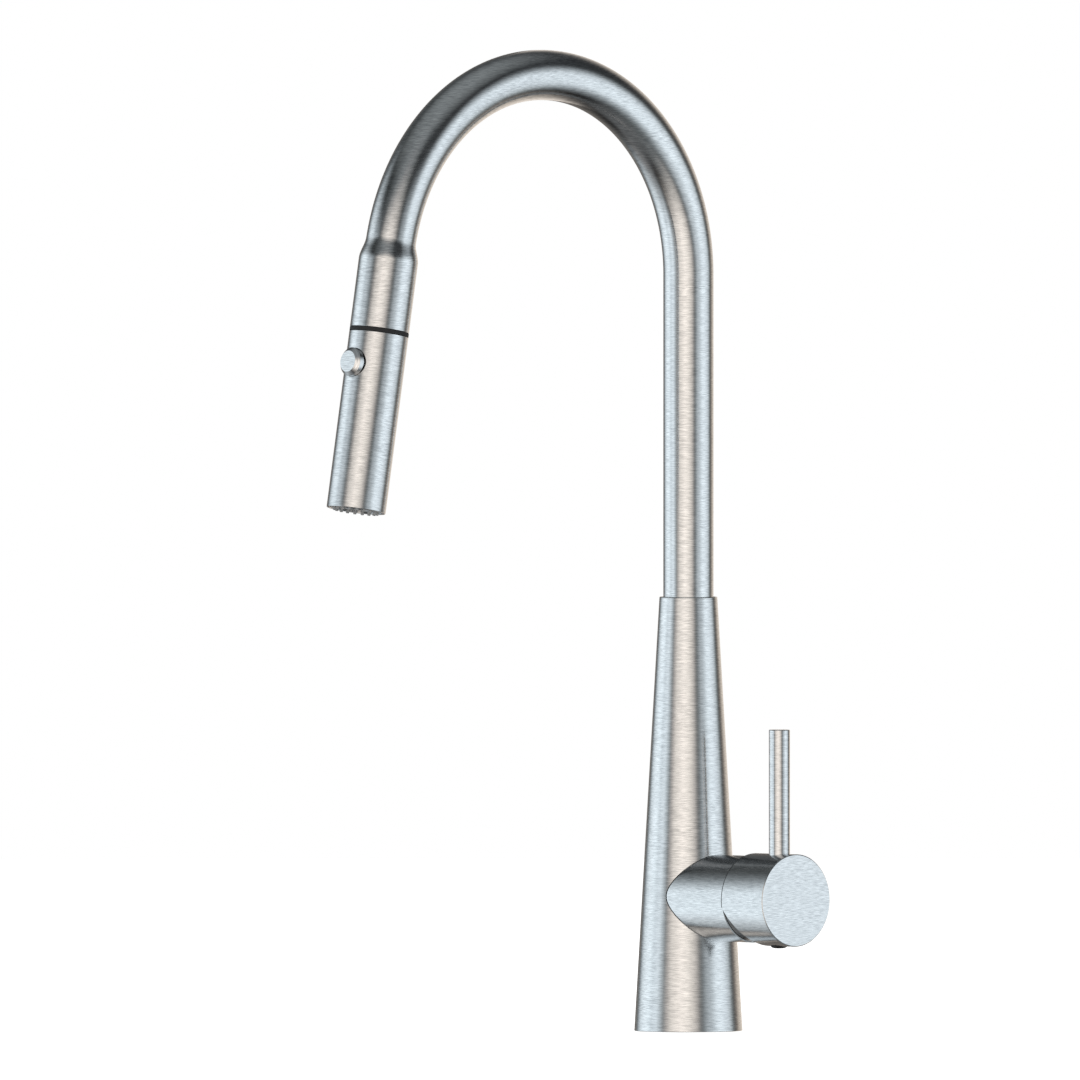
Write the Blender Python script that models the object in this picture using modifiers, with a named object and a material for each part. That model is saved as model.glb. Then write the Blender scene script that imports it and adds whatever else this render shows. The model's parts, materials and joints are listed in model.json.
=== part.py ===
"""Pull-down kitchen faucet: a tapered body with a side lever valve, a swivelling gooseneck spout,
and a spray wand on a hose that runs inside the spout.

Metres, +Z up. The origin is the centre of the base's underside, the spout points along -Y and
the valve points along +X.
"""

import math

import bpy
import bmesh
from mathutils import Matrix, Vector

MM = 0.001
EPS = 1.0 * MM      # how far a cutter runs past the face it cuts
FINE = 36           # sides of the large visible turned pieces
MEDIUM = 20
SMALL = 14
TUBE_SIDES = 20

# Tapered body
BODY_HEIGHT = 216.0 * MM
BODY_FOOT_RADIUS = 26.95 * MM
BODY_TOP_RADIUS = 14.4 * MM
BODY_WALL = 2.6 * MM
MOUTH_RADIUS = 24.2 * MM
MOUTH_HEIGHT = 14.5 * MM
SWIVEL_BORE_RADIUS = 13.2 * MM
LIP_RADIUS = 12.9 * MM

# Spout: a bent tube whose end is swaged out to the wand's diameter
TUBE_RADIUS = 12.5 * MM
TUBE_BORE = 11.25 * MM
COLLAR_RADIUS = 14.8 * MM
COLLAR_BORE = 13.3 * MM
TUBE_FOOT_Z = 208.0 * MM
ARCH_CENTRE_Z = 376.2 * MM
ARCH_RADIUS = 101.4 * MM
ARCH_SWEEP = math.radians(170.0)
ARCH_SEGMENTS = 20
SWAGE_START = -3.5 * MM     # distances along the head, measured from the end of the arch
SWAGE_END = 7.0 * MM
COLLAR_END = 41.7 * MM

# Spray wand, in distances along the head
RING_START = 41.8 * MM
RING_END = 43.75 * MM
WAND_START = 43.85 * MM
WAND_END = 132.6 * MM
WAND_RADIUS = 14.8 * MM
WAND_BORE = 13.2 * MM
BUTTON_PLACE = 60.2 * MM
BUTTON_FACE = 18.5 * MM     # height of the button's face above the wand's axis
BUTTON_HOLE_RADIUS = 7.6 * MM
NOZZLE_COUNT = 18
NOZZLE_CIRCLE = 10.8 * MM

# Hose
HOSE_RADIUS = 6.75 * MM
HOSE_FOOT_Z = 4.0 * MM
HOSE_END = 23.7 * MM

# Side valve and its lever, in distances along +X from the body's axis
VALVE_Z = 66.4 * MM
SLEEVE_RADIUS = 21.6 * MM
SLEEVE_BORE = 18.9 * MM
SLEEVE_START = 8.6 * MM
SLEEVE_END = 48.5 * MM
PIVOT_X = 42.0 * MM
DOME_RADIUS = 21.3 * MM
DOME_WALL = 2.1 * MM
CAP_START = 48.9 * MM
CAP_END = 79.2 * MM
CAP_RADIUS = 23.0 * MM
CAP_SKIRT_BORE = 22.2 * MM
RELIEF_ANGLE = math.radians(30.0)
RELIEF_DROP = 3.2 * MM      # how far under the axis the relief cut starts on the cap's rear edge
ROD_X = 67.0 * MM
ROD_RADIUS = 5.25 * MM
ROD_TOP = 84.8 * MM         # above the valve's axis
PLUG_X = 66.7 * MM
STEM_HALF_WIDTH = 3.5 * MM

COLOURS = {
    # material: colour, roughness, metallic
    "brushed_steel": ((0.62, 0.63, 0.64), 0.32, 1.0),
    "brass": ((0.72, 0.56, 0.28), 0.35, 1.0),
    "copper_tube": ((0.72, 0.42, 0.28), 0.35, 1.0),
    "stainless": ((0.55, 0.56, 0.57), 0.30, 1.0),
    "black_plastic": ((0.02, 0.02, 0.02), 0.45, 0.0),
    "white_plastic": ((0.80, 0.80, 0.78), 0.45, 0.0),
    "grey_plastic": ((0.30, 0.31, 0.32), 0.45, 0.0),
    "rubber": ((0.03, 0.03, 0.03), 0.75, 0.0),
    "silicone": ((0.35, 0.36, 0.37), 0.60, 0.0),
    "ceramic": ((0.85, 0.85, 0.82), 0.25, 0.0),
    "braided_hose": ((0.25, 0.25, 0.26), 0.60, 0.0),
    "magnet": ((0.20, 0.20, 0.21), 0.40, 1.0),
}


def clear_scene():
    for old in list(bpy.data.objects):
        bpy.data.objects.remove(old, do_unlink=True)


def new_collection(name):
    collection = bpy.data.collections.new(name)
    bpy.context.scene.collection.children.link(collection)
    return collection


clear_scene()
PARTS = new_collection("pull_down_kitchen_faucet")
CUTTERS = new_collection("cutters")


def frame_along(origin, axis, across):
    """A frame at origin whose Z runs along axis and whose X lies on the side of across."""
    z = Vector(axis).normalized()
    x = (Vector(across) - z * z.dot(Vector(across))).normalized()
    rotation = Matrix((x, z.cross(x), z)).transposed().to_4x4()
    return Matrix.Translation(origin) @ rotation


def arch_point(angle, radius=ARCH_RADIUS):
    """A point on the arch, angle 0 being where it leaves the upright column."""
    return Vector((0.0, radius * math.cos(angle) - ARCH_RADIUS, ARCH_CENTRE_Z + radius * math.sin(angle)))


HEAD_ORIGIN = arch_point(ARCH_SWEEP)
HEAD_AXIS = Vector((0.0, -math.sin(ARCH_SWEEP), math.cos(ARCH_SWEEP)))
HEAD_FRONT = Vector((0.0, math.cos(ARCH_SWEEP), math.sin(ARCH_SWEEP)))
BODY = Matrix.Identity(4)
HEAD = frame_along(HEAD_ORIGIN, HEAD_AXIS, (1, 0, 0))
BUTTON = frame_along(HEAD_ORIGIN + HEAD_AXIS * BUTTON_PLACE, HEAD_FRONT, (1, 0, 0))
VALVE = frame_along((0, 0, VALVE_Z), (1, 0, 0), (0, 0, 1))
PIVOT = Matrix.Translation((PIVOT_X, 0, VALVE_Z))


def material(name):
    found = bpy.data.materials.get(name)
    if found:
        return found
    colour, roughness, metallic = COLOURS[name]
    made = bpy.data.materials.new(name)
    made.use_nodes = True
    shader = made.node_tree.nodes["Principled BSDF"]
    shader.inputs["Base Color"].default_value = (*colour, 1.0)
    shader.inputs["Roughness"].default_value = roughness
    shader.inputs["Metallic"].default_value = metallic
    return made


def realised(obj):
    """A mesh of what the object's modifiers or its curve make, with round faces shaded smooth."""
    graph = bpy.context.evaluated_depsgraph_get()
    mesh = bpy.data.meshes.new_from_object(obj.evaluated_get(graph))
    mesh.shade_smooth()
    mesh.set_sharp_from_angle(angle=math.radians(35))
    return mesh


def placed(name, mesh, frame):
    """The mesh as a new object in the parts collection."""
    mesh.name = name
    obj = bpy.data.objects.new(name, mesh)
    PARTS.objects.link(obj)
    obj.matrix_world = frame
    return obj


def turned(name, frame, outline, sides=MEDIUM):
    """A solid turned about the frame's Z, from (radius, height) points that go round its outline."""
    area = sum(a[0] * b[1] - b[0] * a[1] for a, b in zip(outline, outline[1:] + outline[:1]))
    if area > 0:
        outline = outline[::-1]
    edges = [(i, i + 1) for i in range(len(outline) - 1)]
    if outline[0][0] > 0 or outline[-1][0] > 0:
        edges.append((len(outline) - 1, 0))
    profile = bpy.data.meshes.new(name + "_profile")
    profile.from_pydata([(radius, 0.0, height) for radius, height in outline], edges, [])
    obj = bpy.data.objects.new(name + "_profile", profile)
    CUTTERS.objects.link(obj)
    screw = obj.modifiers.new("Screw", "SCREW")
    screw.steps = sides
    screw.render_steps = sides
    screw.use_merge_vertices = True
    screw.merge_threshold = 0.001 * MM
    mesh = realised(obj)
    bpy.data.objects.remove(obj)
    return placed(name, mesh, frame)


def ring(name, frame, outer, inner, low, high, sides=MEDIUM, edge=0.0):
    """A washer, tube or, with inner 0, a disc between two heights, its outer edges cut by edge."""
    outline = [(inner, high), (outer - edge, high)]
    if edge:
        outline += [(outer, high - edge), (outer, low + edge)]
    outline += [(outer - edge, low), (inner, low)]
    return turned(name, frame, outline, sides)


def o_ring(name, frame, radius, thickness, height):
    """An O-ring: a small octagon turned at the given radius of its centre line."""
    outline = []
    for k in range(8):
        angle = math.tau * (k + 0.5) / 8
        outline.append((radius + thickness * math.cos(angle), height + thickness * math.sin(angle)))
    return turned(name, frame, outline, SMALL)


def box(name, frame, size, centre=(0, 0, 0)):
    mesh = bpy.data.meshes.new(name)
    cube = bmesh.new()
    bmesh.ops.create_cube(cube, size=1.0)
    bmesh.ops.scale(cube, vec=size, verts=cube.verts)
    bmesh.ops.translate(cube, vec=centre, verts=cube.verts)
    cube.to_mesh(mesh)
    cube.free()
    return placed(name, mesh, frame)


def swept(name, points, radii, sides):
    """A round bar along the points, with a radius at each."""
    curve = bpy.data.curves.new(name + "_path", "CURVE")
    curve.dimensions = "3D"
    curve.bevel_depth = 1.0
    curve.bevel_resolution = (sides - 4) // 2
    curve.use_fill_caps = True
    spline = curve.splines.new("POLY")
    spline.points.add(len(points) - 1)
    for slot, point, radius in zip(spline.points, points, radii):
        slot.co = (*point, 1.0)
        slot.radius = radius
    path = bpy.data.objects.new(name + "_path", curve)
    CUTTERS.objects.link(path)
    mesh = realised(path)
    bpy.data.objects.remove(path)
    welder = bmesh.new()
    welder.from_mesh(mesh)
    bmesh.ops.remove_doubles(welder, verts=welder.verts, dist=0.001 * MM)
    bmesh.ops.recalc_face_normals(welder, faces=welder.faces)
    welder.to_mesh(mesh)
    welder.free()
    return placed(name, mesh, BODY)


def row_of_bars(name, frame, circle, count, radius, low, high, sides):
    """Upright bars on a circle, as one object for cutting or joining."""
    bars = bmesh.new()
    for k in range(count):
        angle = math.tau * k / count
        place = Matrix.Translation((circle * math.cos(angle), circle * math.sin(angle), (low + high) / 2))
        bmesh.ops.create_cone(bars, cap_ends=True, segments=sides, radius1=radius, radius2=radius,
                              depth=high - low, matrix=place)
    mesh = bpy.data.meshes.new(name)
    bars.to_mesh(mesh)
    bars.free()
    return placed(name, mesh, frame)


def combine(obj, other, operation):
    """Adds a Boolean with another object, which becomes a hidden helper."""
    PARTS.objects.unlink(other)
    CUTTERS.objects.link(other)
    other.hide_render = True
    other.display_type = "WIRE"
    modifier = obj.modifiers.new(operation.title(), "BOOLEAN")
    modifier.operation = operation
    modifier.solver = "EXACT"
    modifier.object = other
    return obj


def cut(obj, *cutters):
    for cutter in cutters:
        combine(obj, cutter, "DIFFERENCE")
    return obj


def joined(obj, *others):
    for other in others:
        combine(obj, other, "UNION")
    return obj


def finished(obj, material_name, axis=None):
    """Gives the piece its material and hangs it on its joint's empty, if it moves."""
    obj.data.materials.clear()
    obj.data.materials.append(material(material_name))
    if axis is not None:
        world = obj.matrix_world.copy()
        obj.parent = axis
        obj.matrix_parent_inverse = Matrix.Identity(4)
        obj.matrix_basis = axis_world(axis).inverted() @ world
    return obj


def axis_world(axis):
    """An empty's place in the world, worked out through its parents."""
    if axis.parent is None:
        return axis.matrix_basis.copy()
    return axis_world(axis.parent) @ axis.matrix_basis


def joint_axis(name, frame, parent=None):
    """An empty on a joint's axis, which carries the pieces that move on it."""
    empty = bpy.data.objects.new(name, None)
    empty.empty_display_size = 20 * MM
    PARTS.objects.link(empty)
    empty.parent = parent
    empty.matrix_basis = frame if parent is None else axis_world(parent).inverted() @ frame
    return empty


def body_radius(z):
    """The tapered body's outer radius at a height."""
    return BODY_FOOT_RADIUS + (BODY_TOP_RADIUS - BODY_FOOT_RADIUS) * z / BODY_HEIGHT


# ---------------------------------------------------------------- the fixed body

def make_body_shell():
    edge = 0.6 * MM
    bore_top = 204.0 * MM
    bore_foot = 154.0 * MM
    taper_top = 150.0 * MM
    shell = turned("body_shell", BODY, [
        (0, BODY_HEIGHT),
        (BODY_TOP_RADIUS - edge, BODY_HEIGHT),
        (body_radius(BODY_HEIGHT - edge), BODY_HEIGHT - edge),
        (BODY_FOOT_RADIUS, 0),
        (0, 0),
    ], FINE)
    sleeve = ring("sleeve_outside", VALVE, SLEEVE_RADIUS, 0, 0, SLEEVE_END, FINE, 0.4 * MM)
    hollow = turned("body_hollow", BODY, [
        (0, BODY_HEIGHT + EPS),
        (LIP_RADIUS, BODY_HEIGHT + EPS),
        (LIP_RADIUS, bore_top),
        (SWIVEL_BORE_RADIUS, bore_top),
        (SWIVEL_BORE_RADIUS, bore_foot),
        (body_radius(taper_top) - BODY_WALL, taper_top),
        (body_radius(MOUTH_HEIGHT) - BODY_WALL, MOUTH_HEIGHT),
        (MOUTH_RADIUS, MOUTH_HEIGHT),
        (MOUTH_RADIUS, -EPS),
        (0, -EPS),
    ], FINE)
    sleeve_hole = ring("sleeve_hole", VALVE, SLEEVE_BORE, 0, SLEEVE_START, SLEEVE_END + EPS, FINE)
    joined(shell, sleeve)
    cut(shell, hollow, sleeve_hole)
    finished(shell, "brushed_steel")


def make_base():
    """The threaded brass foot that the deck clamp pulls on, and the gasket under it."""
    socket = 17.0 * MM
    insert = turned("base_insert", BODY, [
        (socket, 14.2 * MM), (23.8 * MM, 14.2 * MM), (23.8 * MM, 2.6 * MM), (socket, 2.6 * MM),
        (socket, 4.0 * MM), (socket + 0.6 * MM, 4.4 * MM), (socket + 0.6 * MM, 12.4 * MM),
        (socket, 12.8 * MM),
    ])
    finished(insert, "brass")
    finished(ring("base_gasket", BODY, 23.9 * MM, 18.0 * MM, 0, 2.3 * MM), "rubber")


def make_swivel_bushes():
    outer = SWIVEL_BORE_RADIUS - 0.3 * MM
    inner = 10.8 * MM
    for name, low, high in (("swivel_bush_upper", 190.0, 202.6), ("swivel_bush_lower", 160.0, 172.0)):
        finished(ring(name, BODY, outer, inner, low * MM, high * MM, MEDIUM, 0.4 * MM), "white_plastic")
    finished(o_ring("swivel_friction_ring", BODY, 11.8 * MM, 1.0 * MM, 181.0 * MM), "rubber")


def pipe(name, points, radius, bore, sides=8):
    """A bent tube, open at both ends."""
    outside = swept(name, points, [radius] * len(points), sides)
    first = points[0] + (points[0] - points[1]).normalized() * EPS
    last = points[-1] + (points[-1] - points[-2]).normalized() * EPS
    inside_points = [first] + points[1:-1] + [last]
    return cut(outside, swept(name + "_bore", inside_points, [bore] * len(points), sides))


def make_valve_block():
    """The block at the inner end of the sleeve, and the three tubes between it and the deck."""
    foot = 2.5 * MM
    block_face = 9.2 * MM
    block = ring("valve_manifold", VALVE, 18.5 * MM, 0, block_face, 19.7 * MM, MEDIUM, 0.5 * MM)
    ports = row_of_bars("manifold_ports", VALVE, 9.0 * MM, 3, 3.0 * MM, 14.0 * MM, 20.7 * MM, 12)
    finished(cut(block, ports), "brass")
    for name, side in (("hot_supply_tube", 1), ("cold_supply_tube", -1)):
        y = side * 11.0 * MM
        route = [
            Vector((8.9 * MM, y, 60 * MM)), Vector((7.6 * MM, y, 60 * MM)), Vector((5.6 * MM, y, 58.6 * MM)),
            Vector((4.4 * MM, y, 56.2 * MM)), Vector((4.0 * MM, y, 53 * MM)), Vector((4.0 * MM, y, foot)),
        ]
        finished(pipe(name, route, 3.2 * MM, 2.3 * MM), "copper_tube")
    drop = [Vector((12.8 * MM, 0, 47.3 * MM)), Vector((12.8 * MM, 0, foot))]
    finished(pipe("mixed_outlet_tube", drop, 3.2 * MM, 2.3 * MM), "copper_tube")


def make_cartridge():
    """The 35 mm ceramic cartridge's fixed pieces, its nut and the dome that covers it."""
    housing = turned("cartridge_housing", VALVE, [
        (15.2 * MM, 21.2 * MM), (17.5 * MM, 21.2 * MM), (17.5 * MM, 45.4 * MM), (17.1 * MM, 45.8 * MM),
        (10.5 * MM, 45.8 * MM), (10.5 * MM, 44.7 * MM), (15.2 * MM, 44.7 * MM),
    ])
    finished(housing, "white_plastic")
    seal = ring("cartridge_seal", VALVE, 16.0 * MM, 13.6 * MM, 20.0 * MM, 20.9 * MM, SMALL)
    finished(seal, "rubber")
    base = ring("cartridge_base", VALVE, 14.9 * MM, 0, 21.3 * MM, 25.0 * MM)
    finished(cut(base, row_of_bars("base_ports", VALVE, 9.0 * MM, 3, 2.6 * MM, 20.3 * MM, 26.0 * MM, 12)),
             "grey_plastic")
    disc = ring("fixed_ceramic_disc", VALVE, 14.6 * MM, 0, 25.3 * MM, 28.8 * MM)
    finished(cut(disc, row_of_bars("disc_ports", VALVE, 9.0 * MM, 3, 2.2 * MM, 24.3 * MM, 29.8 * MM, 12)),
             "ceramic")
    nut = turned("cartridge_nut", VALVE, [
        (11.0 * MM, 46.1 * MM), (18.5 * MM, 46.1 * MM), (18.5 * MM, 48.4 * MM), (14.8 * MM, 48.4 * MM),
        (14.8 * MM, 52.5 * MM), (11.0 * MM, 52.5 * MM),
    ])
    finished(nut, "brass")
    start = 48.8 * MM - PIVOT_X
    first = math.acos(start / DOME_RADIUS)
    last = math.radians(50)
    inner = DOME_RADIUS - DOME_WALL
    steps = 4
    outline = []
    for k in range(steps + 1):
        angle = first + (last - first) * k / steps
        outline.append((DOME_RADIUS * math.sin(angle), PIVOT_X + DOME_RADIUS * math.cos(angle)))
    first_inside = math.acos(start / inner)
    for k in range(steps, -1, -1):
        angle = first_inside + (last - first_inside) * k / steps
        outline.append((inner * math.sin(angle), PIVOT_X + inner * math.cos(angle)))
    finished(turned("cartridge_dome", VALVE, outline, FINE), "brushed_steel")


# ---------------------------------------------------------------- the spout

def swage(along, narrow, wide):
    """The tube's radius at a distance along the head: it eases from narrow to wide over the swage."""
    t = min(max((along - SWAGE_START) / (SWAGE_END - SWAGE_START), 0.0), 1.0)
    return narrow + (wide - narrow) * t * t * (3 - 2 * t)


def spout_route(foot, end, narrow, wide):
    """Points and radii up the column, round the arch and down the head to a distance along it."""
    points = [Vector((0, 0, foot))]
    radii = [narrow]
    swage_angle = ARCH_SWEEP + SWAGE_START / ARCH_RADIUS
    for k in range(ARCH_SEGMENTS + 1):
        angle = swage_angle * k / ARCH_SEGMENTS
        points.append(arch_point(angle))
        radii.append(narrow)
    swage_steps = 6
    for k in range(1, swage_steps + 1):
        along = SWAGE_START + (SWAGE_END - SWAGE_START) * k / swage_steps
        if along < 0:
            points.append(arch_point(ARCH_SWEEP + along / ARCH_RADIUS))
        else:
            points.append(HEAD_ORIGIN + HEAD_AXIS * along)
        radii.append(swage(along, narrow, wide))
    points.append(HEAD_ORIGIN + HEAD_AXIS * end)
    radii.append(wide)
    return points, radii


def make_spout(swivel):
    outside = swept("spout_tube", *spout_route(TUBE_FOOT_Z, COLLAR_END, TUBE_RADIUS, COLLAR_RADIUS),
                    TUBE_SIDES)
    inside = swept("spout_bore", *spout_route(TUBE_FOOT_Z - EPS, COLLAR_END + EPS, TUBE_BORE, COLLAR_BORE),
                   TUBE_SIDES)
    finished(cut(outside, inside), "brushed_steel", swivel)
    bore = 7.8 * MM
    stem = turned("spout_stem", BODY, [
        (bore, 226.0 * MM), (10.5 * MM, 226.0 * MM), (10.95 * MM, 225.4 * MM), (10.95 * MM, 207.7 * MM),
        (12.3 * MM, 207.7 * MM), (12.3 * MM, 204.3 * MM), (10.5 * MM, 204.3 * MM), (10.5 * MM, 154.4 * MM),
        (9.4 * MM, 154.4 * MM), (9.4 * MM, 152.0 * MM), (10.5 * MM, 152.0 * MM), (10.5 * MM, 148.6 * MM),
        (9.9 * MM, 148.0 * MM), (bore, 148.0 * MM),
    ])
    finished(stem, "brass", swivel)
    clip = ring("stem_circlip", BODY, 12.2 * MM, 9.7 * MM, 152.6 * MM, 153.8 * MM, MEDIUM)
    clip_gap = box("clip_gap", BODY, (8 * MM, 4 * MM, 4 * MM), (11 * MM, 0, 153.2 * MM))
    finished(cut(clip, clip_gap), "stainless", swivel)
    guide = turned("dock_insert", HEAD, [
        (9.0 * MM, 15.6 * MM), (10.0 * MM, 15.0 * MM), (12.95 * MM, 15.0 * MM), (12.95 * MM, 41.4 * MM),
        (10.4 * MM, 41.4 * MM), (9.0 * MM, 39.0 * MM),
    ])
    finished(guide, "black_plastic", swivel)
    finished(ring("dock_magnet", HEAD, 12.9 * MM, 9.4 * MM, 9.6 * MM, 14.7 * MM), "magnet", swivel)


def make_hose(swivel):
    points, _ = spout_route(HOSE_FOOT_Z, HOSE_END, HOSE_RADIUS, HOSE_RADIUS)
    hose = swept("spray_hose", points, [HOSE_RADIUS] * len(points), 12)
    blind_bore = ring("hose_bore", BODY, 4.0 * MM, 0, HOSE_FOOT_Z - EPS, HOSE_FOOT_Z + 10 * MM, 12)
    finished(cut(hose, blind_bore), "braided_hose", swivel)


# ---------------------------------------------------------------- the hose's end and the spray wand

def make_hose_end(pull):
    fitting = turned("hose_end_fitting", HEAD, [
        (7.1 * MM, 11.0 * MM), (8.2 * MM, 11.0 * MM), (8.5 * MM, 11.4 * MM), (8.5 * MM, 27.0 * MM),
        (6.0 * MM, 27.0 * MM), (6.0 * MM, 31.6 * MM), (5.1 * MM, 31.6 * MM), (5.1 * MM, 33.8 * MM),
        (6.0 * MM, 33.8 * MM), (6.0 * MM, 37.0 * MM), (3.5 * MM, 37.0 * MM), (3.5 * MM, 24.0 * MM),
        (7.1 * MM, 24.0 * MM),
    ], SMALL)
    finished(fitting, "brass", pull)
    finished(o_ring("hose_end_oring", HEAD, 5.7 * MM, 0.45 * MM, 32.7 * MM), "rubber", pull)


def make_wand_top(twist):
    """The black ring that shows between collar and wand, the neck that plugs in the dock, and its valve."""
    finished(ring("docking_ring", HEAD, WAND_RADIUS, 11.9 * MM, RING_START, RING_END, FINE), "black_plastic",
             twist)
    neck = turned("wand_neck", HEAD, [
        (6.3 * MM, 27.4 * MM), (7.6 * MM, 27.4 * MM), (8.5 * MM, 28.6 * MM), (8.5 * MM, 41.9 * MM),
        (11.6 * MM, 41.9 * MM), (11.6 * MM, 43.9 * MM), (12.9 * MM, 43.9 * MM), (12.9 * MM, 50.8 * MM),
        (6.0 * MM, 50.8 * MM), (6.0 * MM, 40.4 * MM), (4.6 * MM, 40.4 * MM), (4.6 * MM, 37.5 * MM),
        (6.3 * MM, 37.5 * MM),
    ])
    finished(neck, "black_plastic", twist)
    seat = turned("check_valve_body", HEAD, [
        (2.6 * MM, 41.0 * MM), (5.7 * MM, 41.0 * MM), (5.7 * MM, 50.4 * MM), (4.6 * MM, 50.4 * MM),
        (4.6 * MM, 43.0 * MM), (2.6 * MM, 43.0 * MM),
    ], SMALL)
    finished(seat, "white_plastic", twist)


def make_check_poppet(poppet):
    shape = turned("check_valve_poppet", HEAD, [
        (0, 43.3 * MM), (3.6 * MM, 43.3 * MM), (3.9 * MM, 43.7 * MM), (3.9 * MM, 44.8 * MM),
        (1.4 * MM, 45.2 * MM), (1.4 * MM, 48.6 * MM), (0, 48.6 * MM),
    ], 16)
    finished(shape, "grey_plastic", poppet)


def make_wand_shell(twist):
    edge = 0.4 * MM
    shell = turned("wand_shell", HEAD, [
        (WAND_BORE, WAND_START), (WAND_RADIUS - edge, WAND_START), (WAND_RADIUS, WAND_START + edge),
        (WAND_RADIUS, WAND_END - edge), (WAND_RADIUS - edge, WAND_END), (WAND_BORE, WAND_END),
    ], FINE)
    hole = ring("button_hole", BUTTON, BUTTON_HOLE_RADIUS, 0, 8 * MM, 20 * MM)
    finished(cut(shell, hole), "brushed_steel", twist)


def make_waterway(twist):
    """The plastic core of the wand, with the cross bore of the spray selector."""
    core = turned("waterway", HEAD, [
        (4.2 * MM, 51.3 * MM), (11.4 * MM, 51.3 * MM), (12.0 * MM, 51.9 * MM), (12.0 * MM, 117.5 * MM),
        (7.0 * MM, 117.5 * MM), (7.0 * MM, 109.0 * MM), (4.2 * MM, 106.0 * MM),
    ])
    pocket = ring("button_pocket", BUTTON, 7.6 * MM, 0, 6.0 * MM, 14.0 * MM)
    stem_hole = ring("stem_hole", BUTTON, 2.4 * MM, 0, 1.0 * MM, 8.0 * MM, 16)
    spool_hole = ring("spool_hole", BUTTON, 4.0 * MM, 0, -14.0 * MM, 3.0 * MM, 24)
    finished(cut(core, pocket, stem_hole, spool_hole), "grey_plastic", twist)


def make_spray_end(twist):
    """The spray chamber, the soft nozzle mat, the face plate and the aerator in its centre."""
    chamber = turned("spray_chamber", HEAD, [
        (6.7 * MM, 118.0 * MM), (12.8 * MM, 118.0 * MM), (12.8 * MM, 126.8 * MM), (11.8 * MM, 126.8 * MM),
        (11.8 * MM, 119.6 * MM), (7.8 * MM, 119.6 * MM), (7.8 * MM, 126.8 * MM), (6.7 * MM, 126.8 * MM),
    ])
    finished(chamber, "white_plastic", twist)
    mat = ring("nozzle_mat", HEAD, 12.7 * MM, 7.2 * MM, 127.1 * MM, 128.6 * MM)
    nozzles = row_of_bars("nozzles", HEAD, NOZZLE_CIRCLE, NOZZLE_COUNT, 0.9 * MM, 127.8 * MM, 133.6 * MM, 6)
    finished(joined(mat, nozzles), "silicone", twist)
    face = ring("spray_face", HEAD, 12.9 * MM, 6.9 * MM, 128.9 * MM, 131.9 * MM)
    holes = row_of_bars("face_holes", HEAD, NOZZLE_CIRCLE, NOZZLE_COUNT, 1.25 * MM, 127.9 * MM, 132.2 * MM, 6)
    finished(cut(face, holes), "brushed_steel", twist)
    housing = turned("aerator_housing", HEAD, [
        (5.0 * MM, 110.2 * MM), (6.3 * MM, 110.2 * MM), (6.3 * MM, 129.4 * MM), (6.6 * MM, 129.7 * MM),
        (6.6 * MM, 131.6 * MM), (5.4 * MM, 131.6 * MM), (5.4 * MM, 127.0 * MM), (5.0 * MM, 127.0 * MM),
    ])
    finished(housing, "grey_plastic", twist)
    screen = ring("aerator_screen", HEAD, 5.1 * MM, 0, 127.3 * MM, 128.2 * MM, MEDIUM)
    spacing = 2.4 * MM
    slots = bmesh.new()
    for i in range(-1, 2):
        for j in range(-1, 2):
            place = Matrix.Translation((i * spacing, j * spacing, 127.75 * MM))
            bmesh.ops.create_cube(slots, size=1.5 * MM, matrix=place)
    slot_mesh = bpy.data.meshes.new("screen_holes")
    slots.to_mesh(slot_mesh)
    slots.free()
    finished(cut(screen, placed("screen_holes", slot_mesh, HEAD)), "stainless", twist)


def make_button(press):
    body = turned("spray_button", BUTTON, [
        (0, BUTTON_FACE), (5.3 * MM, BUTTON_FACE), (7.2 * MM, BUTTON_FACE - 1.9 * MM), (7.2 * MM, 14.2 * MM),
        (6.6 * MM, 13.8 * MM), (6.6 * MM, 11.6 * MM), (2.1 * MM, 11.6 * MM), (2.1 * MM, 14.2 * MM),
        (0, 14.2 * MM),
    ])
    finished(body, "brushed_steel", press)
    spool = turned("diverter_spool", BUTTON, [
        (0, 13.9 * MM), (1.8 * MM, 13.9 * MM), (1.8 * MM, 2.6 * MM), (3.7 * MM, 2.6 * MM),
        (3.7 * MM, 0.4 * MM), (1.8 * MM, -0.4 * MM), (1.8 * MM, -5.2 * MM), (3.7 * MM, -6.0 * MM),
        (3.7 * MM, -8.4 * MM), (0, -8.4 * MM),
    ], SMALL)
    finished(spool, "black_plastic", press)
    turns = 3
    per_turn = 10
    coil_radius = 4.6 * MM
    wire = 0.45 * MM
    low = 6.9 * MM
    rise = 4.0 * MM
    points = []
    for k in range(turns * per_turn + 1):
        angle = math.tau * k / per_turn
        height = low + rise * k / (turns * per_turn)
        points.append(BUTTON @ Vector((coil_radius * math.cos(angle), coil_radius * math.sin(angle), height)))
    finished(swept("button_spring", points, [wire] * len(points), 4), "stainless", press)


# ---------------------------------------------------------------- the valve's moving pieces

def make_rotor(turn):
    rotor = turned("cartridge_rotor", VALVE, [
        (0, 47.5 * MM), (10.1 * MM, 47.5 * MM), (10.1 * MM, 44.3 * MM), (13.2 * MM, 44.3 * MM),
        (13.2 * MM, 36.0 * MM), (0, 36.0 * MM),
    ])
    slot = box("rotor_slot", PIVOT, (20 * MM, 7.6 * MM, 14.4 * MM))
    pin_axis = frame_along((PIVOT_X, 0, VALVE_Z), (0, 1, 0), (0, 0, 1))
    pin_hole = ring("rotor_pin_hole", pin_axis, 1.8 * MM, 0, -15 * MM, 15 * MM, 12)
    finished(cut(rotor, slot, pin_hole), "white_plastic", turn)
    finished(ring("stem_pin", pin_axis, 1.5 * MM, 0, -9.5 * MM, 9.5 * MM, 12), "stainless", turn)


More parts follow.
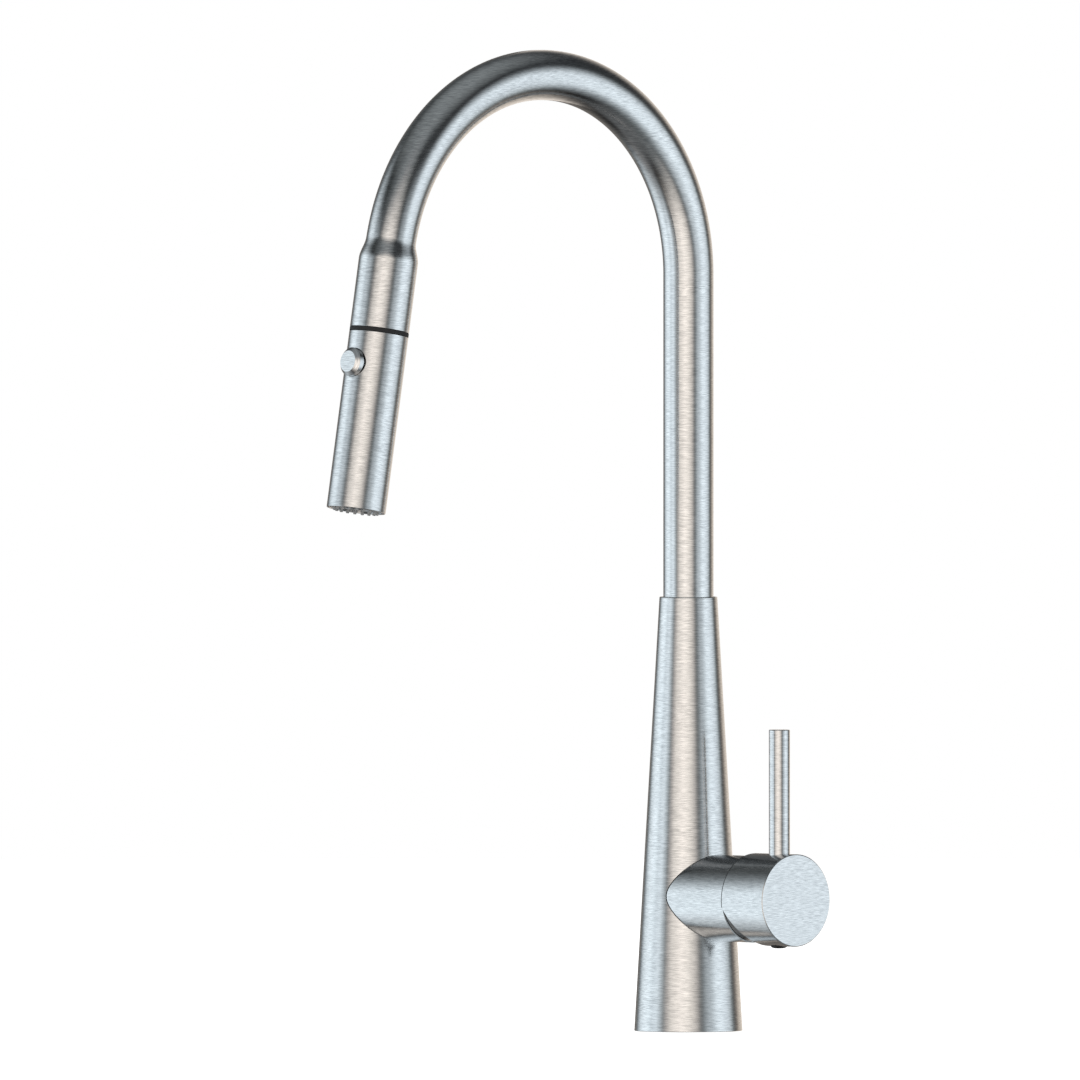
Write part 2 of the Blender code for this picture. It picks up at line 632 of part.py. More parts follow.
def make_discs(slide):
    """The carrier that the stem's foot pushes, and the ceramic disc under it."""
    carrier = ring("disc_carrier", VALVE, 10.3 * MM, 0, 31.9 * MM, 35.2 * MM)
    socket = box("carrier_socket", PIVOT, (3.2 * MM, 6.0 * MM, 6.8 * MM), (-8.0 * MM, 0, 0))
    finished(cut(carrier, socket), "grey_plastic", slide)
    disc = ring("moving_ceramic_disc", VALVE, 10.3 * MM, 0, 29.1 * MM, 31.6 * MM)
    recess = ring("disc_recess", VALVE, 6.0 * MM, 0, 28.1 * MM, 30.4 * MM, SMALL)
    finished(cut(disc, recess), "ceramic", slide)


def make_stem(tilt):
    """The metal lever inside the cartridge: square above the pivot, narrower below it."""
    length = 30.0 * MM
    below = 3.5 * MM
    width = 2 * STEM_HALF_WIDTH
    stem = box("cartridge_stem", PIVOT, (length + below, width, width), ((length - below) / 2, 0, 0))
    foot = box("stem_foot", PIVOT, (8.0 * MM, 5.0 * MM, 5.0 * MM), (-5.0 * MM, 0, 0))
    pin_axis = frame_along((PIVOT_X, 0, VALVE_Z), (0, 1, 0), (0, 0, 1))
    hole = ring("stem_pin_hole", pin_axis, 1.8 * MM, 0, -6 * MM, 6 * MM, 12)
    joined(stem, foot)
    finished(cut(stem, hole), "stainless", tilt)


def make_handle(tilt):
    edge = 0.5 * MM
    cap = turned("handle_cap", VALVE, [
        (0, CAP_END), (CAP_RADIUS - edge, CAP_END), (CAP_RADIUS, CAP_END - edge), (CAP_RADIUS, CAP_START),
        (CAP_SKIRT_BORE, CAP_START), (CAP_SKIRT_BORE, 58.0 * MM), (13.0 * MM, 64.0 * MM), (0, 64.0 * MM),
    ], FINE)
    kept = Vector((math.cos(RELIEF_ANGLE), 0, math.sin(RELIEF_ANGLE)))
    side = 60 * MM
    edge_point = Vector((CAP_START, 0, VALVE_Z - RELIEF_DROP))
    relief = box("relief_cut", frame_along(edge_point, kept, (0, 1, 0)), (side, 2 * side, side),
                 (0, 0, -side / 2))
    upward = frame_along((ROD_X, 0, VALVE_Z), (0, 0, 1), (1, 0, 0))
    downward = frame_along((PLUG_X, 0, VALVE_Z), (0, 0, -1), (1, 0, 0))
    stem_socket = box("stem_socket", PIVOT, (11.0 * MM, 7.6 * MM, 7.6 * MM), (25.5 * MM, 0, 0))
    rod_seat = ring("rod_seat", upward, ROD_RADIUS + 0.2 * MM, 0, 17.5 * MM, 26 * MM)
    rod_thread = ring("rod_thread_hole", upward, 3.5 * MM, 0, 8.2 * MM, 18.5 * MM, SMALL)
    screw_hole = ring("screw_hole", downward, 2.6 * MM, 0, 3.0 * MM, 19.0 * MM, 16)
    plug_seat = ring("plug_seat", downward, 4.2 * MM, 0, 17.2 * MM, 26 * MM, 24)
    finished(cut(cap, relief, stem_socket, rod_seat, rod_thread, screw_hole, plug_seat), "brushed_steel", tilt)
    rod = turned("lever_rod", upward, [
        (0, ROD_TOP), (ROD_RADIUS - edge, ROD_TOP), (ROD_RADIUS, ROD_TOP - edge), (ROD_RADIUS, 17.8 * MM),
        (3.2 * MM, 17.8 * MM), (3.2 * MM, 8.5 * MM), (0, 8.5 * MM),
    ], 24)
    finished(rod, "brushed_steel", tilt)
    screw = turned("set_screw", downward, [
        (0, 11.5 * MM), (1.3 * MM, 13.6 * MM), (2.35 * MM, 13.6 * MM), (2.35 * MM, 4.4 * MM), (1.7 * MM, 3.8 * MM),
        (0, 3.8 * MM),
    ], 16)
    finished(screw, "stainless", tilt)
    plug = ring("set_screw_plug", downward, 4.05 * MM, 0, 17.5 * MM, 24.1 * MM, 24, 0.4 * MM)
    finished(plug, "rubber", tilt)


def main():
    swivel = joint_axis("spout_swivel_axis", BODY)
    pull = joint_axis("wand_pull_axis", HEAD, swivel)
    twist = joint_axis("wand_twist_axis", HEAD, pull)
    poppet = joint_axis("check_valve_axis", HEAD, twist)
    press = joint_axis("button_axis", BUTTON, twist)
    turn = joint_axis("lever_turn_axis", VALVE)
    slide = joint_axis("disc_slide_axis", PIVOT, turn)
    tilt = joint_axis("lever_tilt_axis", PIVOT, turn)
    make_body_shell()
    make_base()
    make_swivel_bushes()
    make_valve_block()
    make_cartridge()
    make_spout(swivel)
    make_hose(swivel)
    make_hose_end(pull)
    make_wand_top(twist)
    make_check_poppet(poppet)
    make_wand_shell(twist)
    make_waterway(twist)
    make_spray_end(twist)
    make_button(press)
    make_rotor(turn)
    make_discs(slide)
    make_stem(tilt)
    make_handle(tilt)


main()
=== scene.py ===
# Looks of the pull-down kitchen faucet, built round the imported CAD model.
# A finer mesh stands for each CAD node that can be seen, and every node has a node material.
# The meshes have the CAD's sizes, but for the dome under the cap, which is a little larger here.
# Outlines are in millimetres and meshes in metres. +Z is up, the spout points along -Y, the valve along +X.
import json
import math

import bmesh
import bpy
import numpy as np
from mathutils import Matrix, Vector


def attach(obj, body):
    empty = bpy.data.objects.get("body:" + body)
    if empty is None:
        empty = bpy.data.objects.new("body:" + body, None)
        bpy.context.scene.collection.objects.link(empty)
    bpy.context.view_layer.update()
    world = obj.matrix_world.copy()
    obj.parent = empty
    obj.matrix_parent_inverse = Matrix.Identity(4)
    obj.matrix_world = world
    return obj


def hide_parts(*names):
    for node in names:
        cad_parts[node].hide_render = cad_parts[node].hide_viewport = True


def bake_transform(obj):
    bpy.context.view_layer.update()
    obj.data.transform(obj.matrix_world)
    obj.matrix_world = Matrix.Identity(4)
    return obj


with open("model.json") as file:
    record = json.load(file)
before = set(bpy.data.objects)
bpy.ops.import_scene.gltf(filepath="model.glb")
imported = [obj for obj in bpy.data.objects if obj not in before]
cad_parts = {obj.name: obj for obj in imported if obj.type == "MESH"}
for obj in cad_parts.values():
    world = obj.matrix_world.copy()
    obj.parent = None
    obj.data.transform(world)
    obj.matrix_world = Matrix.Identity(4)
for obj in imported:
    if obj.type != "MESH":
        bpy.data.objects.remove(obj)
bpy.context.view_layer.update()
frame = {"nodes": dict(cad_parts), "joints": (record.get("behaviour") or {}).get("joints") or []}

MM = 0.001
SIDES = 128             # round a large turned piece
BODY_SIDES = 160        # round the tapered body
TUBE_SIDES = 96
HOSE_SIDES = 64
BUTTON_SIDES = 80       # round the button and the lever's rod
SMALL_SIDES = 56
BAR_SIDES = 14          # round a nozzle
ARC_STEPS = 5           # pieces in each rounded corner of an outline
UNDIVIDED = 1000.0      # mm, a step longer than any straight run
TUBE_STEP = 2.5         # mm of straight run between the rings of a piece that is bent
HOSE_STEP = 4.0
WELD = 1e-7             # metres, within which two points are one
EPS = 1.0               # mm, how far a cutter runs past the face it cuts
DASH_LENGTH = 0.0040    # metres, of the short strokes in the brushed steel
DASH_WIDTH = 0.00023
BRAID_STRANDS = 16      # round the hose, in each direction
BRAID_PITCH = 5.5       # mm along the hose from one strand to the next
BRAID_RELIEF = 0.16

# The camera looks almost level, from the spout's side and the valve's side, as in the photograph
CAMERA_AZIMUTH = math.radians(47.5)
CAMERA_ELEVATION = math.radians(1.64)
CAMERA_SCALE = 0.5373   # metres across the frame
CAMERA_LEFT = 0.07385   # how far the frame's centre lies left of the column
CAMERA_UP = 0.2441      # and above its foot
CAMERA_DISTANCE = 3.0
CAMERA_CLIP = 0.01

JOINTS = {joint["name"]: joint for joint in frame["joints"]}


# ---- frames taken from the CAD record

def frame_along(origin, axis, across):
    """A frame at origin whose Z runs along axis and whose X lies on the side of across."""
    z = Vector(axis).normalized()
    x = (Vector(across) - z * z.dot(Vector(across))).normalized()
    rotation = Matrix((x, z.cross(x), z)).transposed().to_4x4()
    return Matrix.Translation(origin) @ rotation


BODY = Matrix.Identity(4)
HEAD_ORIGIN = Vector(JOINTS["wand_twist"]["pos_m"])
HEAD_AXIS = Vector(JOINTS["wand_twist"]["axis"])
HEAD_FRONT = -Vector(JOINTS["spray_button_press"]["axis"])
HEAD = frame_along(HEAD_ORIGIN, HEAD_AXIS, (1, 0, 0))
VALVE_Z = JOINTS["lever_turn"]["pos_m"][2]
VALVE = frame_along((0, 0, VALVE_Z), (1, 0, 0), (0, 0, 1))
WAND_PULL = JOINTS["wand_pull"]["range_m"][1]

ARCH_SWEEP = math.atan2(-HEAD_AXIS.y, HEAD_AXIS.z)
ARCH_RADIUS = HEAD_ORIGIN.y / (math.cos(ARCH_SWEEP) - 1)
ARCH_CENTRE_Z = HEAD_ORIGIN.z - ARCH_RADIUS * math.sin(ARCH_SWEEP)
HEAD_START = (ARCH_CENTRE_Z + ARCH_RADIUS * ARCH_SWEEP) / MM    # mm of tube from the deck to the head


# ---- surfaces, which give meshes their shading

def rounded_corner(before, corner, after, fillet):
    """Points round one corner of an outline, and the direction away from the fillet's centre at each."""
    to_before = (before - corner).normalized()
    to_after = (after - corner).normalized()
    half = to_before.angle(to_after) / 2
    centre = corner + (to_before + to_after).normalized() * (fillet / math.sin(half))
    first = corner + to_before * (fillet / math.tan(half)) - centre
    last = corner + to_after * (fillet / math.tan(half)) - centre
    start = math.atan2(first.y, first.x)
    sweep = (math.atan2(last.y, last.x) - start + math.pi) % math.tau - math.pi
    angles = [start + sweep * k / ARC_STEPS for k in range(ARC_STEPS + 1)]
    out = [Vector((math.cos(angle), math.sin(angle))) for angle in angles]
    return [centre + fillet * direction for direction in out], out


def square_to(start, end):
    return Vector((end.y - start.y, start.x - end.x)).normalized()


def outline_pieces(corners, step):
    """Short straight pieces of a closed outline, as (start, end, direction at start, direction at end).

    A corner is (radius, height) in mm. A third number is its fillet. "smooth" in its place makes the corner
    a point of a curve.
    """
    spots = [Vector(corner[:2]) * MM for corner in corners]
    extras = [corner[2] if len(corner) > 2 else 0 for corner in corners]
    groups, shared = [], []
    for i, (spot, extra) in enumerate(zip(spots, extras)):
        before, after = spots[i - 1], spots[(i + 1) % len(spots)]
        smooth = extra == "smooth"
        shared.append((square_to(before, spot) + square_to(spot, after)).normalized() if smooth else None)
        if extra and not smooth:
            groups.append(rounded_corner(before, spot, after, extra * MM))
        else:
            groups.append(([spot], [None]))
    pieces = []
    for i, (points, directions) in enumerate(groups):
        pieces += list(zip(points, points[1:], directions, directions[1:]))
        after = (i + 1) % len(groups)
        start, end = points[-1], groups[after][0][0]
        if (end - start).length < WELD:
            continue
        square = square_to(start, end)
        first, last = shared[i] or square, shared[after] or square
        count = max(1, math.ceil((end - start).length / (step * MM)))
        for k in range(count):
            a, b = k / count, (k + 1) / count
            spans = (start.lerp(end, a), start.lerp(end, b))
            turns = (first.lerp(last, a), first.lerp(last, b))
            pieces.append(spans + turns)
    return pieces


class Turned:
    """A surface turned about a frame's Z, with strokes round it or, if lengthwise, along it."""

    def __init__(self, place, corners, step=UNDIVIDED, lengthwise=False):
        self.place = place
        self.lengthwise = lengthwise
        self.axes = np.array(place.to_3x3()).T
        pieces = outline_pieces(corners, step)
        self.points = [piece[0] for piece in pieces]
        columns = [np.array(column) for column in zip(*pieces)]
        self.start, end, self.first, self.last = columns
        self.run = end - self.start

    def local(self, vectors, move=True):
        """World vectors in the frame, as (x, y, z) columns."""
        if move:
            vectors = vectors - np.array(self.place.translation)
        return vectors @ self.axes.T

    def along_piece(self, radius, height, piece):
        """How far along its piece each point lies, from 0 to 1, and its distance from the piece."""
        offset = np.stack([radius, height], -1) - self.start[piece]
        run = self.run[piece]
        share = np.clip((offset * run).sum(-1) / (run * run).sum(-1), 0, 1)
        return share, np.linalg.norm(offset - run * share[..., None], axis=-1)

    def match(self, centres, normals):
        """How badly each face fits the surface, and the piece of the outline that it fits best."""
        spot, way = self.local(centres), self.local(normals, False)
        radius = np.hypot(spot[:, 0], spot[:, 1])
        outward = (way[:, :2] * spot[:, :2]).sum(-1) / np.maximum(radius, WELD)
        pieces = np.arange(len(self.start))[None, :]
        _, distance = self.along_piece(radius[:, None], spot[:, 2][:, None], pieces)
        middle = self.first + self.last
        middle = middle / np.linalg.norm(middle, axis=-1, keepdims=True)
        agreement = np.abs(outward[:, None] * middle[None, :, 0] + way[:, 2][:, None] * middle[None, :, 1])
        misfit = distance + MISFIT * (1 - agreement)
        best = misfit.argmin(1)
        return misfit[np.arange(len(best)), best], best

    def shade(self, points, pieces, face_centres, flat_step):
        """The exact normal, the straightened place and the direction of the brushing at each corner."""
        spot = self.local(points)
        radius = np.hypot(spot[:, 0], spot[:, 1])
        middle = self.local(face_centres)
        radial = np.where((radius > ON_AXIS)[:, None], spot[:, :2], middle[:, :2])
        radial = radial / np.maximum(np.linalg.norm(radial, axis=-1, keepdims=True), WELD)
        share, _ = self.along_piece(radius, spot[:, 2], pieces)
        turn = self.first[pieces] * (1 - share[:, None]) + self.last[pieces] * share[:, None]
        turn = turn / np.linalg.norm(turn, axis=-1, keepdims=True)
        sideways = turn[:, :1] * radial
        normal = np.stack([sideways[:, 0], sideways[:, 1], turn[:, 1]], -1) @ self.axes
        around = np.stack([-radial[:, 1], radial[:, 0], np.zeros(len(radial))], -1) @ self.axes
        if self.lengthwise:
            stretch = DASH_LENGTH / DASH_WIDTH
            spot = spot * np.array([stretch, stretch, 1 / stretch])
        step = np.array(flat_step)
        across = np.cross(normal, step)
        length = np.linalg.norm(across, axis=-1, keepdims=True)
        flat = ((np.abs(turn[:, 1]) > FLAT_FROM) & (length[:, 0] > LEAST_SINE))[:, None]
        across = across / np.maximum(length, WELD)
        straight = np.stack([(points * across).sum(-1), spot[:, 2], points @ step], -1)
        return normal, np.where(flat, straight, spot), np.where(flat, across, around)


class Flat:
    """A flat cut through a point, square to a direction."""

    def __init__(self, point, direction):
        self.point = np.array(point)
        self.direction = np.array(Vector(direction).normalized())

    def match(self, centres, normals):
        distance = np.abs((centres - self.point) @ self.direction)
        return distance + MISFIT * (1 - np.abs(normals @ self.direction)), np.zeros(len(centres), int)

    def shade(self, points, pieces, face_centres, flat_step):
        normal = np.tile(self.direction, (len(points), 1))
        step = np.array(flat_step, float)
        if abs(step @ self.direction) > GREATEST_COSINE:
            step = np.array(Vector(self.direction).orthogonal().normalized())
        across = np.cross(self.direction, step)
        across = across / np.linalg.norm(across)
        grain = np.stack([points @ across, points @ self.direction, points @ step], -1)
        return normal, grain, np.tile(across, (len(points), 1))


MISFIT = 0.02       # metres that a face's misfit grows when its normal is square to the surface's
FLAT_FROM = 0.75    # a face whose normal leans this much along the axis is brushed straight, not round
ON_AXIS = 1e-6      # metres, nearer to the axis a corner takes its direction from the middle of its face
LEAST_SINE = 0.01   # of the angle between a normal and the step of straight brushing
GREATEST_COSINE = 0.99
SURFACES = {}


def read_vectors(source, field, count):
    values = np.empty(count * 3)
    source.foreach_get(field, values)
    return values.reshape(-1, 3)


def corner_vertices(mesh):
    """The vertex at each corner of each face."""
    loops = np.empty(len(mesh.loops), int)
    mesh.loops.foreach_get("vertex_index", loops)
    return loops


def dress(obj, flat_step=(0, 0, 1)):
    """Gives every face corner its exact normal, and the two attributes that the brushed metal reads.

    "grain" is the place on the piece as if it were straightened, with its quick direction last. "around" is
    the direction of the brushing.
    """
    mesh = obj.data
    faces = mesh.polygons
    centres = read_vectors(faces, "center", len(faces))
    face_normals = read_vectors(faces, "normal", len(faces))
    matches = [surface.match(centres, face_normals) for surface in SURFACES[obj.name]]
    owner = np.array([misfit for misfit, _ in matches]).argmin(0)
    loops = corner_vertices(mesh)
    points = read_vectors(mesh.vertices, "co", len(mesh.vertices))[loops]
    sizes = np.empty(len(faces), int)
    faces.foreach_get("loop_total", sizes)
    face_of = np.repeat(np.arange(len(faces)), sizes)
    normals, grain, around = (np.zeros((len(loops), 3)) for _ in range(3))
    for index, (surface, (_, pieces)) in enumerate(zip(SURFACES[obj.name], matches)):
        mine = owner[face_of] == index
        if mine.any():
            here = face_of[mine]
            normals[mine], grain[mine], around[mine] = surface.shade(
                points[mine], pieces[here], centres[here], flat_step)
    facing = np.sign((normals * face_normals[face_of]).sum(-1))
    write_shading(mesh, normals * facing[:, None], grain, around)
    return obj


def write_shading(mesh, normals, grain, around):
    for name, values in (("grain", grain), ("around", around)):
        attribute = mesh.attributes.get(name) or mesh.attributes.new(name, "FLOAT_VECTOR", "CORNER")
        attribute.data.foreach_set("vector", values.astype(np.float32).ravel())
    mesh.shade_smooth()
    mesh.normals_split_custom_set(normals.tolist())


# ---- meshes

def new_object(name, data):
    obj = bpy.data.objects.new(name, data)
    bpy.context.scene.collection.objects.link(obj)
    return obj


def mesh_from(work, name):
    """A mesh made from a finished bmesh, which is used up."""
    mesh = bpy.data.meshes.new(name)
    work.to_mesh(mesh)
    work.free()
    return mesh


def tidied(obj):
    """Welds the mesh and turns its normals outward."""
    work = bmesh.new()
    work.from_mesh(obj.data)
    bmesh.ops.remove_doubles(work, verts=work.verts, dist=WELD)
    bmesh.ops.dissolve_degenerate(work, edges=work.edges, dist=WELD)
    bmesh.ops.recalc_face_normals(work, faces=work.faces)
    work.to_mesh(obj.data)
    work.free()
    return obj


def turned(name, place, corners, sides=SIDES, step=UNDIVIDED, lengthwise=False):
    """A solid turned about the frame's Z, from the corners of its outline in mm."""
    surface = Turned(place, corners, step, lengthwise)
    points = surface.points
    turns = [(math.cos(math.tau * k / sides), math.sin(math.tau * k / sides)) for k in range(sides)]
    verts = [place @ Vector((p.x * c, p.x * s, p.y)) for c, s in turns for p in points]
    count = len(points)
    faces = []
    for k in range(sides):
        this, other = k * count, (k + 1) % sides * count
        for i in range(count):
            j = (i + 1) % count
            if points[i].x > WELD or points[j].x > WELD:
                faces.append((this + i, this + j, other + j, other + i))
    mesh = bpy.data.meshes.new(name)
    mesh.from_pydata(verts, [], faces)
    obj = tidied(new_object(name, mesh))
    SURFACES[name] = [surface]
    return obj


def bars(name, place, circle, count, corners):
    """The same small turned solid on a circle about the frame's Z, as one object."""
    made = []
    for k in range(count):
        angle = math.tau * k / count
        at = place @ Matrix.Translation((circle * MM * math.cos(angle), circle * MM * math.sin(angle), 0))
        made.append(turned(f"{name}_{k}", at, corners, BAR_SIDES))
    return merged(name, made)


def merged(name, objects):
    """Several separate solids as one object."""
    work = bmesh.new()
    surfaces = []
    for obj in objects:
        work.from_mesh(obj.data)
        surfaces += SURFACES.pop(obj.name)
        bpy.data.objects.remove(obj)
    SURFACES[name] = surfaces
    return new_object(name, mesh_from(work, name))


def box(name, place, size, centre=(0, 0, 0)):
    """A box in a frame, sizes in mm."""
    work = bmesh.new()
    bmesh.ops.create_cube(work, size=1.0)
    bmesh.ops.scale(work, vec=Vector(size) * MM, verts=work.verts)
    bmesh.ops.translate(work, vec=Vector(centre) * MM, verts=work.verts)
    bmesh.ops.transform(work, matrix=place, verts=work.verts)
    obj = new_object(name, mesh_from(work, name))
    sides = [(axis, sign) for axis in range(3) for sign in (-1, 1)]
    SURFACES[name] = []
    for axis, sign in sides:
        corner = Vector(centre) * MM
        corner[axis] += sign * size[axis] * MM / 2
        SURFACES[name].append(Flat(place @ corner, place.to_3x3().col[axis]))
    return obj


def combined(obj, other, operation):
    """A Boolean, applied at once. The other object is used up."""
    modifier = obj.modifiers.new(operation, "BOOLEAN")
    modifier.operation = operation
    modifier.solver = "EXACT"
    modifier.object = other
    graph = bpy.context.evaluated_depsgraph_get()
    mesh = bpy.data.meshes.new_from_object(obj.evaluated_get(graph))
    obj.modifiers.clear()
    obj.data = mesh
    SURFACES[obj.name] += SURFACES.pop(other.name)
    bpy.data.objects.remove(other)
    return obj


def cut(obj, *cutters):
    for cutter in cutters:
        combined(obj, cutter, "DIFFERENCE")
    return obj


def bent(obj, level=False):
    """Bends a piece made straight up the column, with height as length of tube, round the arch.

    Its grain bends with it or, if level, stays level all the way as the brushing of the real tube does.
    """
    mesh = obj.data
    points = read_vectors(mesh.vertices, "co", len(mesh.vertices))
    loops = corner_vertices(mesh)
    normals = read_vectors(mesh.corner_normals, "vector", len(loops))
    grain = read_vectors(mesh.attributes["grain"].data, "vector", len(loops))
    around = read_vectors(mesh.attributes["around"].data, "vector", len(loops))
    angle = np.clip((points[:, 2] - ARCH_CENTRE_Z) / ARCH_RADIUS, 0, ARCH_SWEEP)
    beyond = points[:, 2] - ARCH_CENTRE_Z - ARCH_RADIUS * angle
    out = ARCH_RADIUS + points[:, 1]
    moved = np.stack([
        points[:, 0],
        out * np.cos(angle) - beyond * np.sin(angle) - ARCH_RADIUS,
        out * np.sin(angle) + beyond * np.cos(angle) + ARCH_CENTRE_Z,
    ], -1)
    mesh.vertices.foreach_set("co", moved.astype(np.float32).ravel())
    mesh.update()
    cosine, sine = np.cos(angle[loops]), np.sin(angle[loops])

    def swung(v):
        return np.stack([v[:, 0], v[:, 1] * cosine - v[:, 2] * sine, v[:, 1] * sine + v[:, 2] * cosine], -1)

    write_shading(mesh, swung(normals), moved[loops] if level else grain, swung(around))
    return obj


# ---- node materials

def linear(*colour):
    """Linear light of an sRGB colour given from 0 to 255, by the standard's two formulas."""
    shares = [value / 255 for value in colour]
    return tuple(v / 12.92 if v <= 0.04 else ((v + 0.055) / 1.055) ** 2.4 for v in shares)


class Nodes:
    """A short way to write a node tree."""

    def __init__(self, tree):
        self.tree = tree
        tree.nodes.clear()

    def add(self, kind, inputs=None, **settings):
        node = self.tree.nodes.new(kind)
        for key, value in settings.items():
            setattr(node, key, value)
        for key, value in (inputs or {}).items():
            if isinstance(value, bpy.types.NodeSocket):
                self.tree.links.new(value, node.inputs[key])
            else:
                node.inputs[key].default_value = value
        return node

    def maths(self, operation, *values):
        return self.add("ShaderNodeMath", dict(enumerate(values)), operation=operation).outputs[0]

    def scaled(self, vector, scale):
        """A vector times a scale along each axis."""
        return self.add("ShaderNodeVectorMath", {0: vector, 1: scale}, operation="MULTIPLY").outputs[0]

    def noise(self, vector, scale=1.0, detail=2.0, roughness=0.5, distortion=0.0):
        return self.add("ShaderNodeTexNoise", {
            "Vector": vector, "Scale": scale, "Detail": detail, "Roughness": roughness,
            "Distortion": distortion,
        }).outputs["Fac"]

    def dot(self, first, second):
        node = self.add("ShaderNodeVectorMath", {0: first, 1: second}, operation="DOT_PRODUCT")
        return node.outputs["Value"]

    def remap(self, value, low, high, to_low=0.0, to_high=1.0, smooth=False):
        return self.add("ShaderNodeMapRange", {
            "Value": value, "From Min": low, "From Max": high, "To Min": to_low, "To Max": to_high,
        }, interpolation_type="SMOOTHSTEP" if smooth else "LINEAR").outputs["Result"]

    def ramp(self, value, stops):
        """A colour ramp from (place, colour) stops."""
        node = self.add("ShaderNodeValToRGB", {"Fac": value})
        elements = node.color_ramp.elements
        while len(elements) < len(stops):
            elements.new(0.5)
        for element, (place, _) in zip(elements, stops):
            element.position = place
        for element, (_, colour) in zip(elements, stops):
            element.color = (*colour, 1)
        return node.outputs["Color"]

    def mix(self, factor, first, second):
        node = self.add("ShaderNodeMix", {0: factor}, data_type="RGBA")
        for index, value in ((6, first), (7, second)):
            if isinstance(value, bpy.types.NodeSocket):
                self.tree.links.new(value, node.inputs[index])
            else:
                node.inputs[index].default_value = (*value, 1)
        return node.outputs[2]

    def attribute(self, name):
        return self.add("ShaderNodeAttribute", attribute_name=name).outputs["Vector"]

    def bump(self, height, distance, strength):
        return self.add("ShaderNodeBump", {
            "Height": height, "Distance": distance, "Strength": strength,
        }).outputs["Normal"]


WHITE = (1, 1, 1, 1)


def new_material(name):
    material = bpy.data.materials.new(name)
    material.use_nodes = True
    return material, Nodes(material.node_tree)


def close_material(nodes, inputs):
    shader = nodes.add("ShaderNodeBsdfPrincipled", inputs)
    nodes.add("ShaderNodeOutputMaterial", {"Surface": shader.outputs[0]})


STEEL = (0.62, 0.63, 0.64)
STEEL_DARK = (0.42, 0.43, 0.44)     # of the darkest dashes
STEEL_LIGHT = (0.82, 0.83, 0.84)
STEEL_CLOUD = (0.60, 0.612, 0.622)  # of the patches where the dashes fade
STEEL_GLOSS = (0.13, 0.19)
STEEL_RELIEF = 0.00002


def brushed_steel():
    """Stainless steel with short brushed dashes, lighter and darker, that also break up its reflections.

    Its gloss is drawn out across the dashes, so that it mirrors the studio as bands.
    """
    material, nodes = new_material("brushed_steel_look")
    place = nodes.scaled(nodes.attribute("grain"), (1 / DASH_LENGTH, 1 / DASH_LENGTH, 1 / DASH_WIDTH))
    streak = nodes.noise(place, detail=1.0, distortion=0.5)
    cloud = nodes.noise(nodes.scaled(place, (0.07, 0.07, 0.016)), detail=1.0)
    tint = nodes.ramp(streak, [(0.31, STEEL_DARK), (0.50, STEEL), (0.69, STEEL_LIGHT)])
    way = nodes.add("ShaderNodeVectorTransform", {0: nodes.attribute("around")},
                    vector_type="VECTOR", convert_from="OBJECT", convert_to="WORLD").outputs[0]
    close_material(nodes, {
        "Base Color": nodes.mix(nodes.remap(cloud, 0.3, 0.7, 0.0, 0.35), tint, STEEL_CLOUD),
        "Metallic": 1.0,
        "Roughness": nodes.remap(streak, 0.3, 0.7, *STEEL_GLOSS),
        "Anisotropic": 0.5,
        "Anisotropic Rotation": 0.25,
        "Tangent": way,
        "Normal": nodes.bump(streak, STEEL_RELIEF, 0.35),
    })
    return material


CLOUD_SCALE = 12        # how much coarser a plain material's patches are than its grain
PLAIN_LOOKS = {
    # slot: darker colour, lighter colour, roughness of each, metallic, grains in a metre (relief)
    "brass": ((176, 142, 84), (214, 182, 118), (0.22, 0.36), 1.0, 1500.0),
    "copper_tube": ((168, 104, 78), (206, 140, 108), (0.25, 0.4), 1.0, 700.0),
    "stainless": ((170, 172, 174), (205, 208, 210), (0.2, 0.34), 1.0, 1800.0),
    "black_plastic": ((24, 25, 26), (40, 41, 43), (0.4, 0.55), 0.0, 2200.0),
    "white_plastic": ((214, 213, 208), (232, 231, 227), (0.35, 0.5), 0.0, 1600.0),
    "grey_plastic": ((122, 125, 128), (148, 151, 154), (0.35, 0.5), 0.0, 1600.0),
    "rubber": ((22, 22, 23), (36, 36, 37), (0.6, 0.8), 0.0, 1300.0, 0.00003),
    "silicone": ((150, 152, 154), (176, 178, 180), (0.3, 0.45), 0.0, 1400.0),
    "ceramic": ((232, 230, 222), (246, 244, 238), (0.12, 0.22), 0.0, 2500.0),
    "magnet": ((58, 60, 64), (96, 99, 104), (0.3, 0.5), 1.0, 2400.0),
}


def grained(slot, dark, light, roughness, metallic, scale, relief=0.00001):
    """A plain material with fine variation of colour, gloss and height at its own scale."""
    material, nodes = new_material(slot + "_look")
    place = nodes.add("ShaderNodeTexCoord").outputs["Object"]
    grain = nodes.noise(place, scale, 3.0, 0.6)
    cloud = nodes.noise(place, scale / CLOUD_SCALE, 2.0)
    both = nodes.maths("MULTIPLY_ADD", grain, 0.6, nodes.maths("MULTIPLY", cloud, 0.4))
    close_material(nodes, {
        "Base Color": nodes.ramp(both, [(0.35, linear(*dark)), (0.65, linear(*light))]),
        "Roughness": nodes.remap(both, 0.35, 0.65, *roughness),
        "Metallic": metallic,
        "Normal": nodes.bump(grain, relief, 0.6),
    })
    return material


